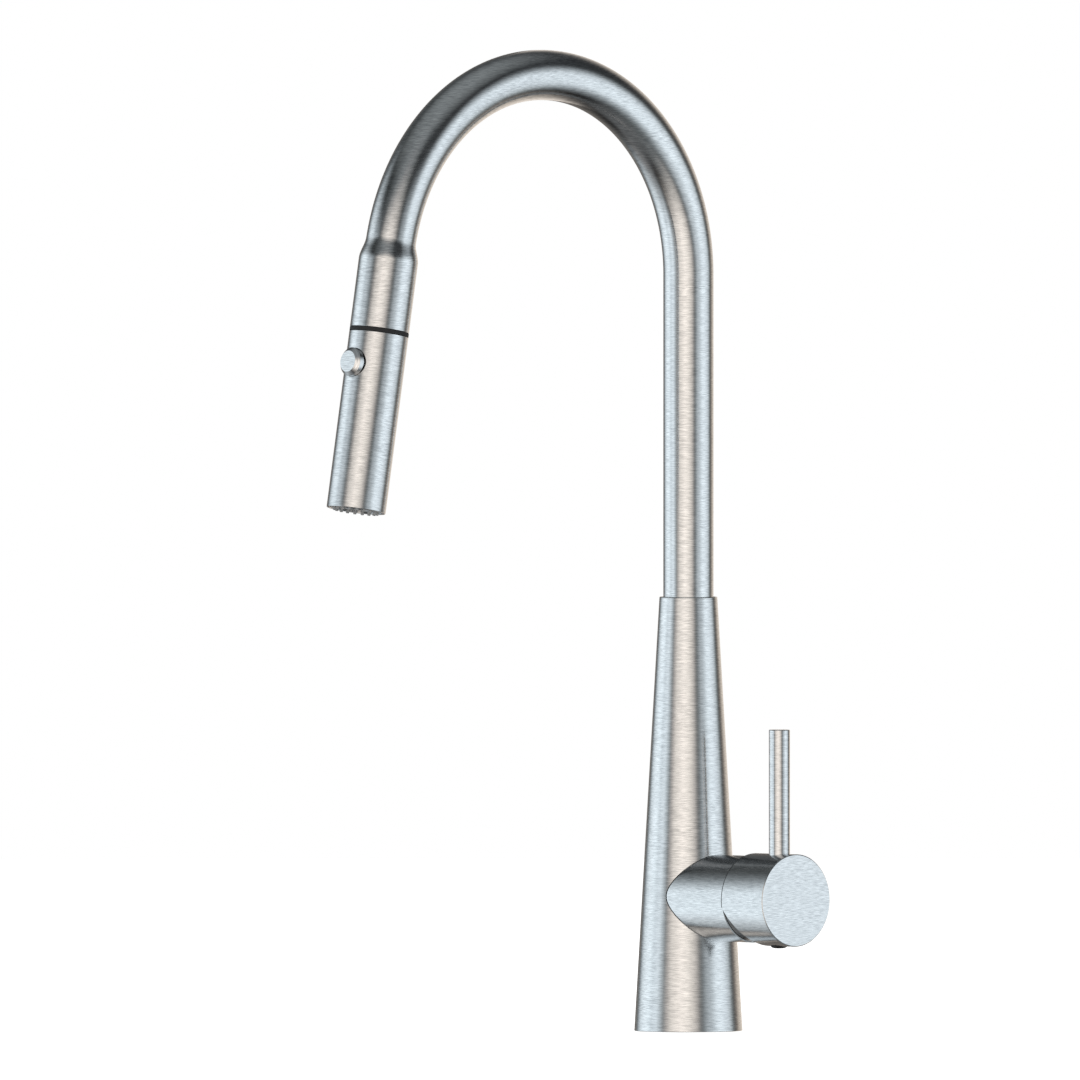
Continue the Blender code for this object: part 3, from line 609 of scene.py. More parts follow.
def braided_hose():
    """Nylon braid: two sets of strands that cross, laid out on the straightened hose."""
    material, nodes = new_material("braided_hose_look")
    split = nodes.add("ShaderNodeSeparateXYZ", {0: nodes.attribute("grain")})
    turn = nodes.maths("ARCTAN2", split.outputs[1], split.outputs[0])
    rise = nodes.maths("MULTIPLY", split.outputs[2], math.tau / (BRAID_PITCH * MM))
    left = nodes.maths("SINE", nodes.maths("MULTIPLY_ADD", turn, BRAID_STRANDS, rise))
    right = nodes.maths("SINE", nodes.maths("SUBTRACT", nodes.maths("MULTIPLY", turn, BRAID_STRANDS), rise))
    height = nodes.remap(nodes.maths("MAXIMUM", left, right), -1.0, 1.0)
    fibre = nodes.noise(nodes.attribute("grain"), 1500.0)
    lift = nodes.maths("MULTIPLY_ADD", fibre, 0.25, height)
    close_material(nodes, {
        "Base Color": nodes.ramp(lift, [
            (0.1, linear(28, 29, 31)), (0.6, linear(84, 86, 90)), (1.0, linear(138, 141, 146)),
        ]),
        "Roughness": nodes.remap(lift, 0.0, 1.2, 0.7, 0.42),
        "Sheen Weight": 0.15,
        "Normal": nodes.bump(lift, 0.0003, 0.8),
    })
    return material


MATERIALS = {slot: grained(slot, *look) for slot, look in PLAIN_LOOKS.items()}
MATERIALS["brushed_steel"] = brushed_steel()
MATERIALS["braided_hose"] = braided_hose()


def finished(obj, slot, body, *nodes, flat_step=(0, 0, 1)):
    """Shades the piece, gives it its material, and puts it in place of the CAD nodes."""
    if obj.data.attributes.get("grain") is None:
        dress(obj, flat_step)
    obj.data.materials.clear()
    obj.data.materials.append(MATERIALS[slot])
    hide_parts(*nodes)
    if body:
        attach(obj, body)
    return obj


def detail(name):
    """The name of the piece that stands for a CAD node."""
    return name + "_detail"


def turned_piece(node, place, slot, body, corners, sides=SIDES, flat_step=(0, 0, 1), cutters=()):
    """A turned solid, less its cutters, in place of one CAD node."""
    piece = cut(turned(detail(node), place, corners, sides), *cutters)
    return finished(piece, slot, body, node, flat_step=flat_step)


def head_piece(node, slot, body, corners, sides=SIDES, cutters=()):
    """A turned solid along the head, brushed across where it is flat."""
    return turned_piece(node, HEAD, slot, body, corners, sides, HEAD_FRONT, cutters)


# ---- the body and its foot

BODY_HEIGHT = 216.0
BODY_FOOT = 26.95       # radii of the tapered body
BODY_TOP = 14.4
BODY_WALL = 2.6
SLEEVE_RADIUS = 21.6
SLEEVE_END = 48.5       # distances along the valve's axis
CAP_START = 48.9
CAP_END = 79.2
CAP_RADIUS = 23.0
GROOVE_WIDTH = 0.3      # the seam where the sleeve meets the body
GROOVE_DEPTH = 0.5
GROOVE_REACH = 40       # along the valve's axis, past the body's side
SPOUT_SEAT = 13.15      # radii of the bore, from the top down
BUSH_SEAT = 12.9
NECK_BORE = 13.2
FOOT_BORE = 24.2
VALVE_MOUTH = 19.2      # radii of the sleeve's bore
VALVE_BORE = 18.9
INSERT_BORE = 17.0
INSERT_RADIUS = 23.8
INSERT_FOOT = 2.6
INSERT_TOP = 14.2
THREAD_DEPTH = 0.55
THREAD_HALF_PITCH = 0.75
THREAD_POINTS = 12
GASKET_BORE = 18.0
GASKET_RADIUS = 23.9


def body_radius(height):
    return BODY_FOOT + (BODY_TOP - BODY_FOOT) * height / BODY_HEIGHT


def make_body():
    shell = turned(detail("body_shell"), BODY, [
        (0, BODY_HEIGHT), (BODY_TOP, BODY_HEIGHT, 0.5), (BODY_FOOT, 0, 0.3), (0, 0),
    ], BODY_SIDES)
    sleeve = turned("sleeve", VALVE, [
        (0, SLEEVE_END), (SLEEVE_RADIUS - 0.5, SLEEVE_END), (SLEEVE_RADIUS, SLEEVE_END - 0.3),
        (SLEEVE_RADIUS, 0), (0, 0),
    ], lengthwise=True)
    seam = SLEEVE_RADIUS + GROOVE_WIDTH
    groove = turned("groove", VALVE, [(0, GROOVE_REACH), (seam, GROOVE_REACH), (seam, 0), (0, 0)])
    under = turned("under", BODY, [
        (0, BODY_HEIGHT), (BODY_TOP - GROOVE_DEPTH, BODY_HEIGHT), (BODY_FOOT - GROOVE_DEPTH, 0), (0, 0),
    ], BODY_SIDES)
    cut(groove, under)
    cut(shell, groove)
    hollow = turned("hollow", BODY, [
        (0, BODY_HEIGHT + EPS), (SPOUT_SEAT, BODY_HEIGHT + EPS), (SPOUT_SEAT, BODY_HEIGHT - 0.1),
        (BUSH_SEAT, 215.6), (BUSH_SEAT, 204), (NECK_BORE, 204), (NECK_BORE, 154),
        (body_radius(150) - BODY_WALL, 150), (body_radius(14.5) - BODY_WALL, 14.5),
        (FOOT_BORE, 14.5), (FOOT_BORE, -EPS), (0, -EPS),
    ])
    bore = turned("bore", VALVE, [
        (0, SLEEVE_END + EPS), (VALVE_MOUTH, SLEEVE_END + EPS), (VALVE_MOUTH, SLEEVE_END - 0.1),
        (VALVE_BORE, 48.1), (VALVE_BORE, 8.6), (0, 8.6),
    ])
    combined(shell, sleeve, "UNION")
    cut(shell, hollow, bore)
    finished(shell, "brushed_steel", "body", "body_shell")


def make_foot():
    """The threaded ring and the gasket under the body, with a groove in its face."""
    lead = INSERT_FOOT + 1.0
    thread = []
    for k in range(1, THREAD_POINTS):
        thread.append((INSERT_BORE + THREAD_DEPTH * (k % 2), lead + THREAD_HALF_PITCH * k))
    turned_piece("base_insert", BODY, "brass", "body", [
        (INSERT_BORE, INSERT_TOP), (INSERT_RADIUS, INSERT_TOP, 0.4), (INSERT_RADIUS, INSERT_FOOT, 0.4),
        (18.0, INSERT_FOOT), (INSERT_BORE, lead), *thread, (INSERT_BORE, 12.8),
    ])
    turned_piece("base_gasket", BODY, "rubber", "body", [
        (GASKET_BORE, 2.3, 0.4), (GASKET_RADIUS, 2.3, 0.5), (GASKET_RADIUS, 0, 0.7), (22.4, 0, 0.3),
        (21.9, 0.6, 0.3), (21.0, 0.6, 0.3), (20.5, 0, 0.3), (GASKET_BORE, 0, 0.5),
    ])


# ---- the spout and the hose in it

TUBE_RADIUS = 12.5
TUBE_BORE = 11.25
COLLAR_RADIUS = 14.8
COLLAR_BORE = 13.3
TUBE_FOOT = 208.0
SWAGE_START = -3.5      # distances along the head, from the end of the arch
SWAGE_END = 7.0
COLLAR_END = 41.7
SWAGE_STEPS = 14
GUIDE_START = 15.0
GUIDE_END = 41.4
GUIDE_BORE = 9.0
GUIDE_RADIUS = 12.95


def swage(narrow, wide):
    """The eased step from the tube to the collar, as smooth corners of an outline."""
    corners = []
    for k in range(SWAGE_STEPS + 1):
        share = k / SWAGE_STEPS
        along = SWAGE_START + (SWAGE_END - SWAGE_START) * share
        radius = narrow + (wide - narrow) * share * share * (3 - 2 * share)
        corners.append((radius, HEAD_START + along, "smooth"))
    return corners


def make_spout():
    lip = HEAD_START + COLLAR_END
    tube = turned(detail("spout_tube"), BODY, [
        (TUBE_RADIUS, TUBE_FOOT, 0.3), *swage(TUBE_RADIUS, COLLAR_RADIUS), (COLLAR_RADIUS, lip, 0.3),
        (COLLAR_BORE, lip, 0.3), *reversed(swage(TUBE_BORE, COLLAR_BORE)), (TUBE_BORE, TUBE_FOOT),
    ], TUBE_SIDES, TUBE_STEP)
    dress(tube)
    bent(tube, level=True)
    finished(tube, "brushed_steel", "spout", "spout_tube")
    head_piece("dock_insert", "black_plastic", "spout", [
        (GUIDE_BORE, GUIDE_START, 0.9), (GUIDE_RADIUS, GUIDE_START), (GUIDE_RADIUS, GUIDE_END, 0.3),
        (10.4, GUIDE_END, 0.3), (GUIDE_BORE, 39.0, 0.4),
    ])


HOSE_RADIUS = 6.75
HOSE_FOOT = 4.0         # height above the deck
HOSE_BORE = 4.0         # radius and depth of the bore at the foot
HOSE_BORE_DEPTH = 10
HOSE_TIP = 23.7         # distances along the head
HOSE_BEND_START = 1.0   # between these two the hose goes over from the spout to the hose's end
HOSE_BEND_END = 22.0
HOSE_LAP = 0.2          # how far the hose's end piece starts before the first of them
RING_SPACING = 0.9      # mm between rings of the hose's end when it is drawn out
BEND_SAMPLES = 2000


def pulled_out(along):
    """Where a point of the hose lies when the wand is drawn right out."""
    share = np.clip((along - HOSE_BEND_START) / (HOSE_BEND_END - HOSE_BEND_START), 0, 1)
    return along + share * share * (3 - 2 * share) * WAND_PULL / MM


def braided(name, corners):
    """A length of the hose; its braid is laid out as it lies drawn out, the only time that it shows."""
    hose = turned(name, BODY, corners, HOSE_SIDES, HOSE_STEP)
    dress(hose)
    mesh = hose.data
    grain = mesh.attributes["grain"].data
    values = read_vectors(grain, "vector", len(grain))
    values[:, 2] = pulled_out(values[:, 2] / MM - HEAD_START) * MM
    grain.foreach_set("vector", values.astype(np.float32).ravel())
    for vertex in mesh.vertices:
        radius = math.hypot(vertex.co.x, vertex.co.y)
        if radius > HOSE_RADIUS * MM - WELD:
            turn = BRAID_STRANDS * math.atan2(vertex.co.y, vertex.co.x)
            rise = math.tau / BRAID_PITCH * float(pulled_out(vertex.co.z / MM - HEAD_START))
            relief = BRAID_RELIEF * MM * (max(math.sin(turn + rise), math.sin(turn - rise)) - 1) / 2
            vertex.co.x *= 1 + relief / radius
            vertex.co.y *= 1 + relief / radius
    return bent(hose)


def make_hose():
    """The hose inside the spout, and the short end of it, shaped as it lies when drawn out."""
    join = HEAD_START + HOSE_BEND_START - HOSE_LAP
    tip = HEAD_START + HOSE_TIP
    fine = np.linspace(HOSE_BEND_START, HOSE_BEND_END, BEND_SAMPLES)
    shown = np.arange(pulled_out(fine[0]), pulled_out(fine[-1]), RING_SPACING)
    places = np.interp(shown, pulled_out(fine), fine)
    rings = [(HOSE_RADIUS, HEAD_START + float(along), "smooth") for along in places]
    inside = braided(detail("spray_hose"), [
        (HOSE_RADIUS, HOSE_FOOT), (HOSE_RADIUS, join), (0, join), (0, HOSE_FOOT + HOSE_BORE_DEPTH),
        (HOSE_BORE, HOSE_FOOT + HOSE_BORE_DEPTH), (HOSE_BORE, HOSE_FOOT),
    ])
    finished(inside, "braided_hose", "spout", "spray_hose")
    end = braided(detail("spray_hose_end"), [
        (0, join), (HOSE_RADIUS, join), *rings, (HOSE_RADIUS, tip), (0, tip),
    ])
    finished(end, "braided_hose", None, "spray_hose")
    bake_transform(end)


FERRULE_RADIUS = 8.5
TAIL_RADIUS = 6.0


def make_hose_end():
    """The crimped ferrule on the hose, its swivel and the grooves of its tail."""
    crimps = [(FERRULE_RADIUS - 0.35 * (k % 2), 12.6 + 1.5 * k, 0.25) for k in range(8)]
    head_piece("hose_end_fitting", "brass", "hose_end", [
        (7.1, 11.0), (FERRULE_RADIUS, 11.0, 0.5), *crimps, (FERRULE_RADIUS, 27.0, 0.4),
        (TAIL_RADIUS, 27.0, 0.2), (TAIL_RADIUS, 31.6, 0.2), (5.1, 31.6), (5.1, 33.8),
        (TAIL_RADIUS, 33.8, 0.2), (TAIL_RADIUS, 37.0, 0.3), (3.5, 37.0), (3.5, 24.0), (7.1, 24.0),
    ])


# ---- the spray wand

WAND_START = 43.85      # distances along the head
WAND_END = 132.6
BUTTON_PLACE = 60.2
NOZZLE_TIP = 133.6
WAND_RADIUS = 14.8
WAND_BORE = 13.2
RING_START = 41.8       # of the black ring between collar and wand
RING_END = 43.75
RING_BORE = 11.9
NECK_RADIUS = 8.5
BUTTON_FACE = 18.5      # distances along the button's axis
BUTTON_BACK = 14.2
BUTTON_RADIUS = 7.2
BUTTON_HOLE = 7.36      # radius of the hole in the shell
BUTTON = frame_along(HEAD_ORIGIN + HEAD_AXIS * BUTTON_PLACE * MM, HEAD_FRONT, (1, 0, 0))
NOZZLES = 18
NOZZLE_CIRCLE = 10.8
NOZZLE_RADIUS = 0.95
NOZZLE_HOLE = 1.25      # radius of its hole in the face


def make_wand_top():
    ring = head_piece("docking_ring", "rubber", "wand", [
        (RING_BORE, RING_START), (WAND_RADIUS, RING_START, 0.15), (WAND_RADIUS, RING_END, 0.15),
        (RING_BORE, RING_END),
    ])
    ribs = [(NECK_RADIUS - 0.4 * (k % 2), 30.5 + 1.2 * k, 0.2) for k in range(9)]
    head_piece("wand_neck", "black_plastic", "wand", [
        (6.3, 27.4, 0.3), (7.6, 27.4, 0.4), (NECK_RADIUS, 28.6, 0.5), *ribs, (NECK_RADIUS, 41.9),
        (11.6, 41.9), (11.6, 43.9), (12.9, 43.9), (12.9, 50.8), (6.0, 50.8), (6.0, 40.4), (4.6, 40.4),
        (4.6, 37.5), (6.3, 37.5),
    ])


def make_wand_shell():
    hole = [(0, 20), (BUTTON_HOLE, 20), (BUTTON_HOLE, 8), (0, 8)]
    head_piece("wand_shell", "brushed_steel", "wand", [
        (WAND_BORE, WAND_START, 0.2), (WAND_RADIUS, WAND_START, 0.3), (WAND_RADIUS, WAND_END, 0.35),
        (WAND_BORE, WAND_END, 0.35),
    ], cutters=[turned("button_hole", BUTTON, hole, BUTTON_SIDES)])


def make_button():
    turned_piece("spray_button", BUTTON, "brushed_steel", "button", [
        (0, BUTTON_FACE), (5.35, BUTTON_FACE, 0.15), (BUTTON_RADIUS, BUTTON_FACE - 1.9, 0.2),
        (BUTTON_RADIUS, BUTTON_BACK, 0.2), (6.6, 13.8), (6.6, 11.6), (2.1, 11.6), (2.1, BUTTON_BACK),
        (0, BUTTON_BACK),
    ], BUTTON_SIDES, HEAD_AXIS)


SPRING_TURNS = 3
SPRING_RADIUS = 4.6
SPRING_WIRE = 0.45
SPRING_FOOT = 6.9       # distances along the button's axis
SPRING_RISE = 4.0
SPRING_STEPS = 120
WIRE_SIDES = 12


def make_spring():
    """The coil under the button."""
    work = bmesh.new()
    rings, normals = [], []
    turning = BUTTON.to_3x3()
    for k in range(SPRING_STEPS + 1):
        turn = math.tau * SPRING_TURNS * k / SPRING_STEPS
        out = Vector((math.cos(turn), math.sin(turn), 0))
        centre = out * SPRING_RADIUS + Vector((0, 0, SPRING_FOOT + SPRING_RISE * k / SPRING_STEPS))
        ring = []
        for side in range(WIRE_SIDES):
            angle = math.tau * side / WIRE_SIDES
            normal = out * math.cos(angle) + Vector((0, 0, math.sin(angle)))
            ring.append(work.verts.new(BUTTON @ ((centre + normal * SPRING_WIRE) * MM)))
            normals.append(turning @ normal)
        rings.append(ring)
    for one, other in zip(rings, rings[1:]):
        for side in range(WIRE_SIDES):
            work.faces.new((one[side - 1], one[side], other[side], other[side - 1]))
    work.faces.new(rings[0])
    work.faces.new(rings[-1][::-1])
    bmesh.ops.recalc_face_normals(work, faces=work.faces)
    name = detail("button_spring")
    mesh = mesh_from(work, name)
    loops = corner_vertices(mesh)
    points = read_vectors(mesh.vertices, "co", len(mesh.vertices))
    write_shading(mesh, np.array(normals)[loops], points[loops], np.tile((0.0, 0.0, 1.0), (len(loops), 1)))
    spring = new_object(name, mesh)
    finished(spring, "stainless", None, "button_spring")
    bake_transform(spring)


AERATOR_BORE = 5.0
AERATOR_LIP = 131.6
SCREEN_RADIUS = 5.1
SCREEN_START = 127.3
SCREEN_END = 128.2
SCREEN_PITCH = 1.25
SCREEN_OPENING = 0.85
SCREEN_REACH = 3        # openings from the middle of the screen to its edge


def make_spray_end():
    mat = turned(detail("nozzle_mat"), HEAD, [(7.2, 127.1), (12.7, 127.1), (12.7, 128.6), (7.2, 128.6)])
    nozzles = bars("nozzles", HEAD, NOZZLE_CIRCLE, NOZZLES, [
        (0, 127.8), (NOZZLE_RADIUS, 127.8), (NOZZLE_RADIUS, 132.2, 0.5), (0.78, NOZZLE_TIP, 0.25),
        (0.3, NOZZLE_TIP), (0.3, 132.0), (0, 132.0),
    ])
    combined(mat, nozzles, "UNION")
    finished(mat, "silicone", "wand", "nozzle_mat", flat_step=HEAD_FRONT)
    holes = bars("face_holes", HEAD, NOZZLE_CIRCLE, NOZZLES, [
        (0, 127.9), (NOZZLE_HOLE, 127.9), (NOZZLE_HOLE, 132.2), (0, 132.2),
    ])
    head_piece("spray_face", "brushed_steel", "wand", [
        (6.9, 128.9), (12.9, 128.9), (12.9, 131.9, 0.4), (6.9, 131.9, 0.3),
    ], cutters=[holes])
    head_piece("aerator_housing", "grey_plastic", "wand", [
        (AERATOR_BORE, 110.2), (6.3, 110.2), (6.3, 129.5), (6.6, 129.8), (6.6, AERATOR_LIP, 0.3),
        (5.4, AERATOR_LIP, 0.3), (5.4, 127.0), (AERATOR_BORE, 127.0),
    ])
    make_screen()


def make_screen():
    """The aerator's screen: a disc with square openings."""
    size = (SCREEN_OPENING, SCREEN_OPENING, 3.0)
    middle = (SCREEN_START + SCREEN_END) / 2
    reach = range(-SCREEN_REACH, SCREEN_REACH + 1)
    holes = []
    for i in reach:
        for j in reach:
            if math.hypot(i, j) < SCREEN_REACH + 0.3:
                centre = (i * SCREEN_PITCH, j * SCREEN_PITCH, middle)
                holes.append(box(f"screen_hole_{i}_{j}", HEAD, size, centre))
    head_piece("aerator_screen", "stainless", "wand", [
        (0, SCREEN_START), (SCREEN_RADIUS, SCREEN_START), (SCREEN_RADIUS, SCREEN_END, 0.2), (0, SCREEN_END),
    ], SMALL_SIDES, [merged("screen_holes", holes)])


# ---- the valve's dome and the lever

PIVOT_X = JOINTS["lever_turn"]["pos_m"][0] / MM
DOME_RADIUS = 21.9      # 0.6 mm more than the CAD's, so that the cut under the cap shows less of a dark gap
DOME_WALL = 2.1
DOME_SEAT = 48.8        # along the valve's axis
DOME_STEPS = 10
DOME_OPEN = math.radians(50)
CAP_BORE = 22.2
CAP_ROOF = 64           # where the cap's hollow ends
SHADE_RING_BED = 22.5         # radius of the bottom of the groove that holds the black ring of painted shade
SHADE_RING_START = 0.12       # distances of the ring of painted shade from the cap's rear edge
SHADE_RING_END = 0.65
RELIEF_ANGLE = math.radians(30)
RELIEF_DROP = 3.2       # how far under the axis the cut meets the cap's rear edge
RELIEF_SIDE = 60
ROD_X = 67.0
ROD_RADIUS = 5.25
ROD_SEAT = 17.5         # distances from the valve's axis, up for the rod and down for the plug
ROD_FOOT = 17.8
ROD_TOP = 84.8
SEAT_MOUTH = 26         # past the cap's outside
PLUG_X = 66.7
PLUG_RADIUS = 4.05
PLUG_SEAT = 17.2
PLUG_FOOT = 17.5


def dome_arc(radius):
    """Smooth corners of the dome's section, from its seat to its opening."""
    first = math.acos((DOME_SEAT - PIVOT_X) / radius)
    angles = [first + (DOME_OPEN - first) * k / DOME_STEPS for k in range(DOME_STEPS + 1)]
    spots = [(radius * math.sin(angle), PIVOT_X + radius * math.cos(angle)) for angle in angles]
    return [spots[0], *[(*spot, "smooth") for spot in spots[1:-1]], spots[-1]]


def make_dome():
    outline = dome_arc(DOME_RADIUS) + dome_arc(DOME_RADIUS - DOME_WALL)[::-1]
    dome = turned(detail("cartridge_dome"), VALVE, outline, lengthwise=True)
    finished(dome, "brushed_steel", "body", "cartridge_dome")


def relief_cutter():
    """The oblique cut under the cap that lets it tip."""
    kept = Vector((math.cos(RELIEF_ANGLE), 0, math.sin(RELIEF_ANGLE)))
    edge = Vector((CAP_START * MM, 0, VALVE_Z - RELIEF_DROP * MM))
    size = (RELIEF_SIDE, 2 * RELIEF_SIDE, RELIEF_SIDE)
    return box("relief", frame_along(edge, kept, (0, 1, 0)), size, (0, 0, -RELIEF_SIDE / 2))


def seat(name, place, radius, foot):
    """A cutter for the blind hole that the rod or the plug stands in."""
    return turned(name, place, [(0, SEAT_MOUTH), (radius, SEAT_MOUTH), (radius, foot), (0, foot)])


def make_cap(upward, downward):
    """The cap, and a thin black ring of painted shade in a groove at its rear edge, standing for the dark
    shadow line there.
    """
    near, far = CAP_START + SHADE_RING_START, CAP_START + SHADE_RING_END
    rim, face = CAP_RADIUS - 0.1, CAP_RADIUS - 0.05
    cap = turned(detail("handle_cap"), VALVE, [
        (0, CAP_END), (CAP_RADIUS - 0.4, CAP_END), (CAP_RADIUS, CAP_END - 0.3), (CAP_RADIUS, far),
        (SHADE_RING_BED, far), (SHADE_RING_BED, near), (rim, near), (rim, CAP_START), (CAP_BORE, CAP_START),
        (CAP_BORE, 58), (13, CAP_ROOF), (0, CAP_ROOF),
    ], lengthwise=True)
    # a thin black ring of painted shade for the dark shadow line at the cap's rear edge; the cap has no
    # real seal here
    shade_ring = turned("handle_cap_shade_ring_detail", VALVE, [
        (SHADE_RING_BED, far), (face, far), (face, near), (SHADE_RING_BED, near),
    ], lengthwise=True)
    rod_seat = seat("rod_seat", upward, ROD_RADIUS + 0.2, ROD_SEAT)
    plug_seat = seat("plug_seat", downward, PLUG_RADIUS + 0.1, PLUG_SEAT)
    cut(cap, relief_cutter(), rod_seat, plug_seat)
    finished(cap, "brushed_steel", "handle", "handle_cap")
    # the ring of painted shade is cut like the cap and given the black rubber look
    cut(shade_ring, relief_cutter())
    finished(shade_ring, "rubber", "handle", "handle_cap")


def make_handle():
    upward = frame_along((ROD_X * MM, 0, VALVE_Z), (0, 0, 1), (1, 0, 0))
    downward = frame_along((PLUG_X * MM, 0, VALVE_Z), (0, 0, -1), (1, 0, 0))
    make_cap(upward, downward)
    turned_piece("lever_rod", upward, "brushed_steel", "handle", [
        (0, ROD_TOP), (ROD_RADIUS, ROD_TOP, 0.45), (ROD_RADIUS, ROD_FOOT, 0.2), (3.2, ROD_FOOT), (3.2, 8.5),
        (0, 8.5),
    ], BUTTON_SIDES, (1, 0, 0))
    turned_piece("set_screw_plug", downward, "rubber", "handle", [
        (0, 24.1, "smooth"), (2.2, 24.0, "smooth"), (3.3, 23.7, "smooth"), (PLUG_RADIUS, 23.2, 0.2),
        (PLUG_RADIUS, PLUG_FOOT), (0, PLUG_FOOT),
    ], SMALL_SIDES, (1, 0, 0))


# ---- the studio

def shown(*colour):
    """The light that steel must mirror to show a colour."""
    return tuple(light / steel for light, steel in zip(linear(*colour), STEEL))


def tone(nodes, turn, stops):
    """Greys or colours round the object, from (degrees, grey) or (degrees, red, green, blue) stops."""
    placed = []
    for degrees, *colour in stops:
        whole = colour if len(colour) > 1 else colour * 3
        placed.append(((degrees + 180) / 360, shown(*whole)))
    return nodes.ramp(turn, placed)


# What the studio shows round the object, counted in degrees from the camera, positive to its right
PANELS = [
    (-180, 96, 92, 88), (-165, 100, 97, 94), (-150, 104, 104, 102), (-143, 110, 116, 120),
    (-135, 165, 174, 180), (-126, 200, 211, 217), (-112, 223, 234, 241), (-100, 224, 236, 243),
    (-88, 204, 215, 222), (-74, 218, 229, 236), (-64, 175, 184, 189), (-57, 133, 136, 137),
    (-49, 172, 167, 163), (-40, 214, 208, 201), (-16, 245, 237, 229), (-2, 234, 227, 219),
    (10, 208, 202, 195), (18, 180, 175, 170), (26, 122, 122, 121), (32, 113, 118, 120),
    (42, 168, 176, 181), (56, 196, 206, 212), (66, 220, 231, 238), (78, 222, 233, 240),
    (92, 206, 216, 223), (104, 178, 187, 192), (112, 124, 130, 132), (119, 94, 94, 93),
    (127, 120, 114, 108), (138, 172, 163, 153), (152, 190, 181, 171), (180, 206, 198, 190),
]
PANEL_TOPS = [
    (-180, 0.32), (-145, 0.20), (-120, 0.42), (-95, 0.40), (-75, 0.28), (-57, 0.25), (-40, 0.40),
    (-15, 0.47), (5, 0.45), (28, 0.28), (50, 0.22), (70, 0.35), (95, 0.32), (116, 0.15), (130, 0.15),
    (150, 0.35), (180, 0.34),
]
CEILING = [
    (-180, 66, 69, 71), (-120, 62, 65, 66), (-75, 46, 49, 50), (-50, 78, 82, 84), (-30, 112, 116, 118),
    (-5, 120, 122, 124), (12, 98, 102, 104), (28, 46, 49, 51), (60, 50, 52, 54), (100, 50, 53, 55),
    (130, 42, 44, 46), (180, 62, 65, 67),
]
GROUND = [
    (-180, 45), (-160, 30), (-142, 60), (-120, 108), (-90, 108), (-72, 84), (-50, 42), (-35, 42),
    (-10, 80, 83, 84), (15, 98, 102, 104), (50, 82, 86, 87), (85, 70, 73, 74), (108, 22), (122, 12),
    (132, 16), (150, 55), (180, 40),
]
ZENITH = (115, 120, 122)
NADIR = (88, 90, 91)


def make_world(back, right):
    """A studio that steel reflects as bands: pale blue panels, a cream one, and dark gaps between them.

    It fades to a ceiling above and a ground below. The camera itself sees white.
    """
    world = bpy.data.worlds.new("studio")
    bpy.context.scene.world = world
    world.use_nodes = True
    nodes = Nodes(world.node_tree)
    look = nodes.add("ShaderNodeTexCoord").outputs["Generated"]
    bearing = nodes.maths("ARCTAN2", nodes.dot(look, right), nodes.dot(look, back))
    turn = nodes.maths("MULTIPLY_ADD", bearing, 1 / math.tau, 0.5)
    height = nodes.add("ShaderNodeSeparateXYZ", {0: look}).outputs[2]
    panels = tone(nodes, turn, PANELS)
    tops = nodes.ramp(turn, [((degrees + 180) / 360, (high,) * 3) for degrees, high in PANEL_TOPS])
    ceiling = tone(nodes, turn, CEILING)
    ground = tone(nodes, turn, GROUND)
    upper = nodes.mix(nodes.remap(height, 0.66, 0.97), ceiling, shown(*ZENITH))
    lower = nodes.mix(nodes.remap(height, -0.87, -0.98), ground, shown(*NADIR))
    over = nodes.maths("SUBTRACT", height, tops)
    light = nodes.mix(nodes.remap(over, -0.30, 0.30, smooth=True), panels, upper)
    light = nodes.mix(nodes.remap(height, -0.36, -0.92, smooth=True), light, lower)
    studio = nodes.add("ShaderNodeBackground", {"Color": light}).outputs[0]
    paper = nodes.add("ShaderNodeBackground", {"Color": WHITE}).outputs[0]
    seen = nodes.add("ShaderNodeLightPath").outputs["Is Camera Ray"]
    mixed = nodes.add("ShaderNodeMixShader", {0: seen, 1: studio, 2: paper}).outputs[0]
    nodes.add("ShaderNodeOutputWorld", {"Surface": mixed})


FLOOR_RADIUS = 3.0
FLOOR_DROP = 0.0004     # how far the floor lies under the foot
FLOOR_GLOW = 0.92
AIM = Vector((0, 0, 0.25))      # the middle of the faucet


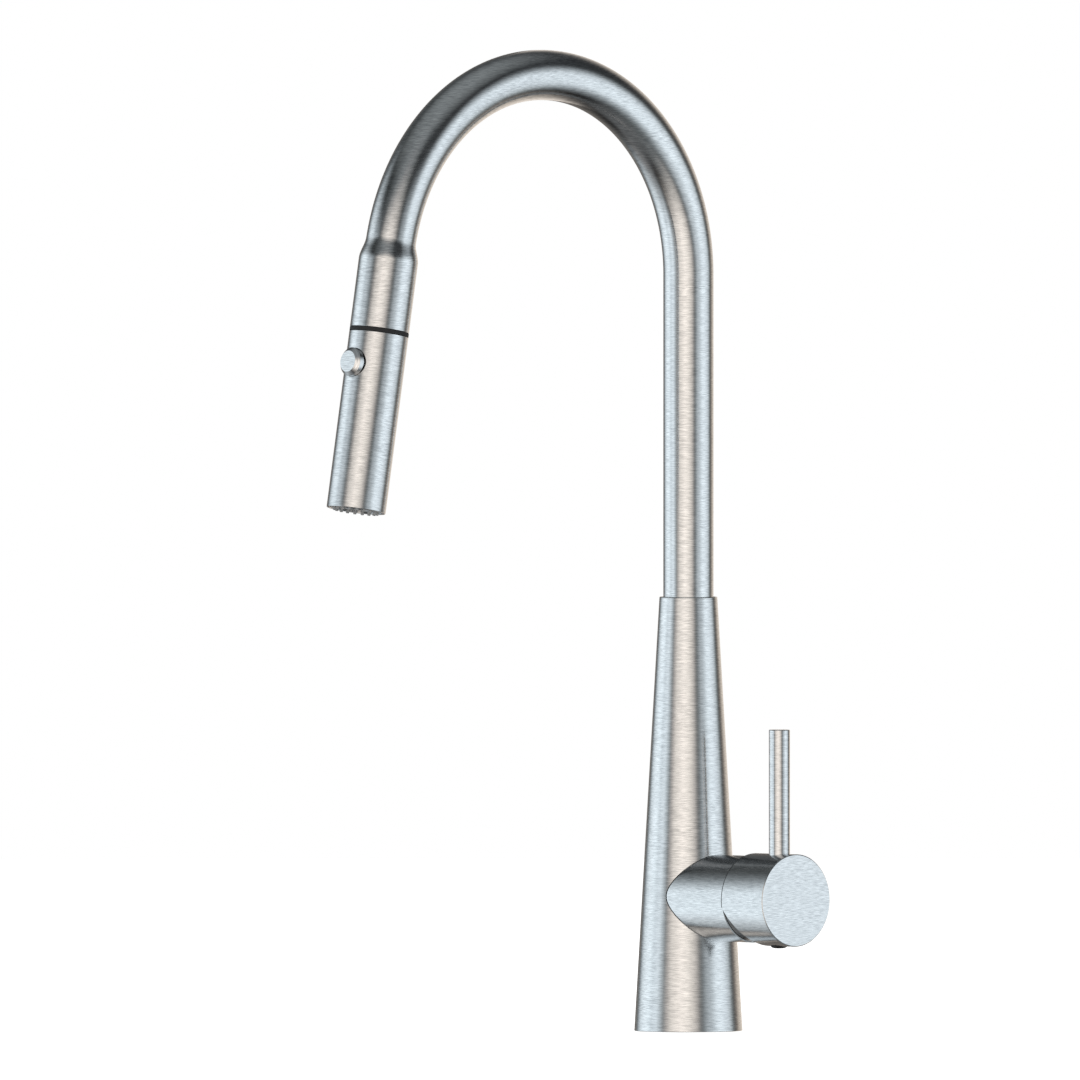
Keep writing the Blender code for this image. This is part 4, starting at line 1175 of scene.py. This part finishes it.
def make_floor():
    """A pale floor, nearly as bright as the background, seen from above only."""
    work = bmesh.new()
    bmesh.ops.create_circle(work, cap_ends=True, segments=64, radius=FLOOR_RADIUS)
    mesh = mesh_from(work, "floor")
    floor = new_object("floor", mesh)
    floor.location.z = -FLOOR_DROP
    floor.visible_glossy = False
    floor.visible_diffuse = False
    material, nodes = new_material("pale_floor")
    paint = nodes.add("ShaderNodeBsdfDiffuse", {"Color": (0.75, 0.75, 0.75, 1)}).outputs[0]
    glow = nodes.add("ShaderNodeEmission", {"Color": WHITE, "Strength": FLOOR_GLOW}).outputs[0]
    lit = nodes.add("ShaderNodeAddShader", {0: paint, 1: glow}).outputs[0]
    clear = nodes.add("ShaderNodeBsdfTransparent").outputs[0]
    under = nodes.add("ShaderNodeNewGeometry").outputs["Backfacing"]
    mixed = nodes.add("ShaderNodeMixShader", {0: under, 1: lit, 2: clear}).outputs[0]
    nodes.add("ShaderNodeOutputMaterial", {"Surface": mixed})
    mesh.materials.append(material)


def make_light(name, place, size, power):
    """A soft panel aimed at the middle of the faucet, which the metal doesn't mirror."""
    data = bpy.data.lights.new(name, "AREA")
    data.shape = "SQUARE"
    data.size = size
    data.energy = power
    light = new_object(name, data)
    light.location = place
    light.rotation_euler = (AIM - Vector(place)).to_track_quat("-Z", "Y").to_euler()
    light.visible_glossy = False


def make_camera(back, right):
    data = bpy.data.cameras.new("camera")
    data.type = "ORTHO"
    data.ortho_scale = CAMERA_SCALE
    data.clip_start = CAMERA_CLIP
    camera = new_object("camera", data)
    camera.location = back * CAMERA_DISTANCE - right * CAMERA_LEFT + back.cross(right) * CAMERA_UP
    camera.rotation_mode = "QUATERNION"
    camera.rotation_quaternion = (-back).to_track_quat("-Z", "Y")
    bpy.context.scene.camera = camera


def make_studio():
    cosine, sine = math.cos(CAMERA_AZIMUTH), math.sin(CAMERA_AZIMUTH)
    level = Vector((sine, -cosine, 0))
    right = Vector((cosine, sine, 0))
    back = level * math.cos(CAMERA_ELEVATION) + Vector((0, 0, math.sin(CAMERA_ELEVATION)))
    make_camera(back, right)
    make_world(level, right)
    make_light("key", (0.9, -1.1, 1.5), 1.2, 14)
    make_light("fill", (-1.2, 0.9, 1.3), 1.4, 8)
    make_floor()
    bpy.context.scene.view_settings.view_transform = "Standard"


def paint_cad_nodes():
    """Gives every CAD node that stays its slot's material."""
    for obj in frame["nodes"].values():
        obj.data.materials[0] = MATERIALS[obj.data.materials[0].name]


make_studio()
paint_cad_nodes()
make_body()
make_foot()
make_spout()
make_hose()
make_hose_end()
make_wand_top()
make_wand_shell()
make_button()
make_spring()
make_spray_end()
make_dome()
make_handle()
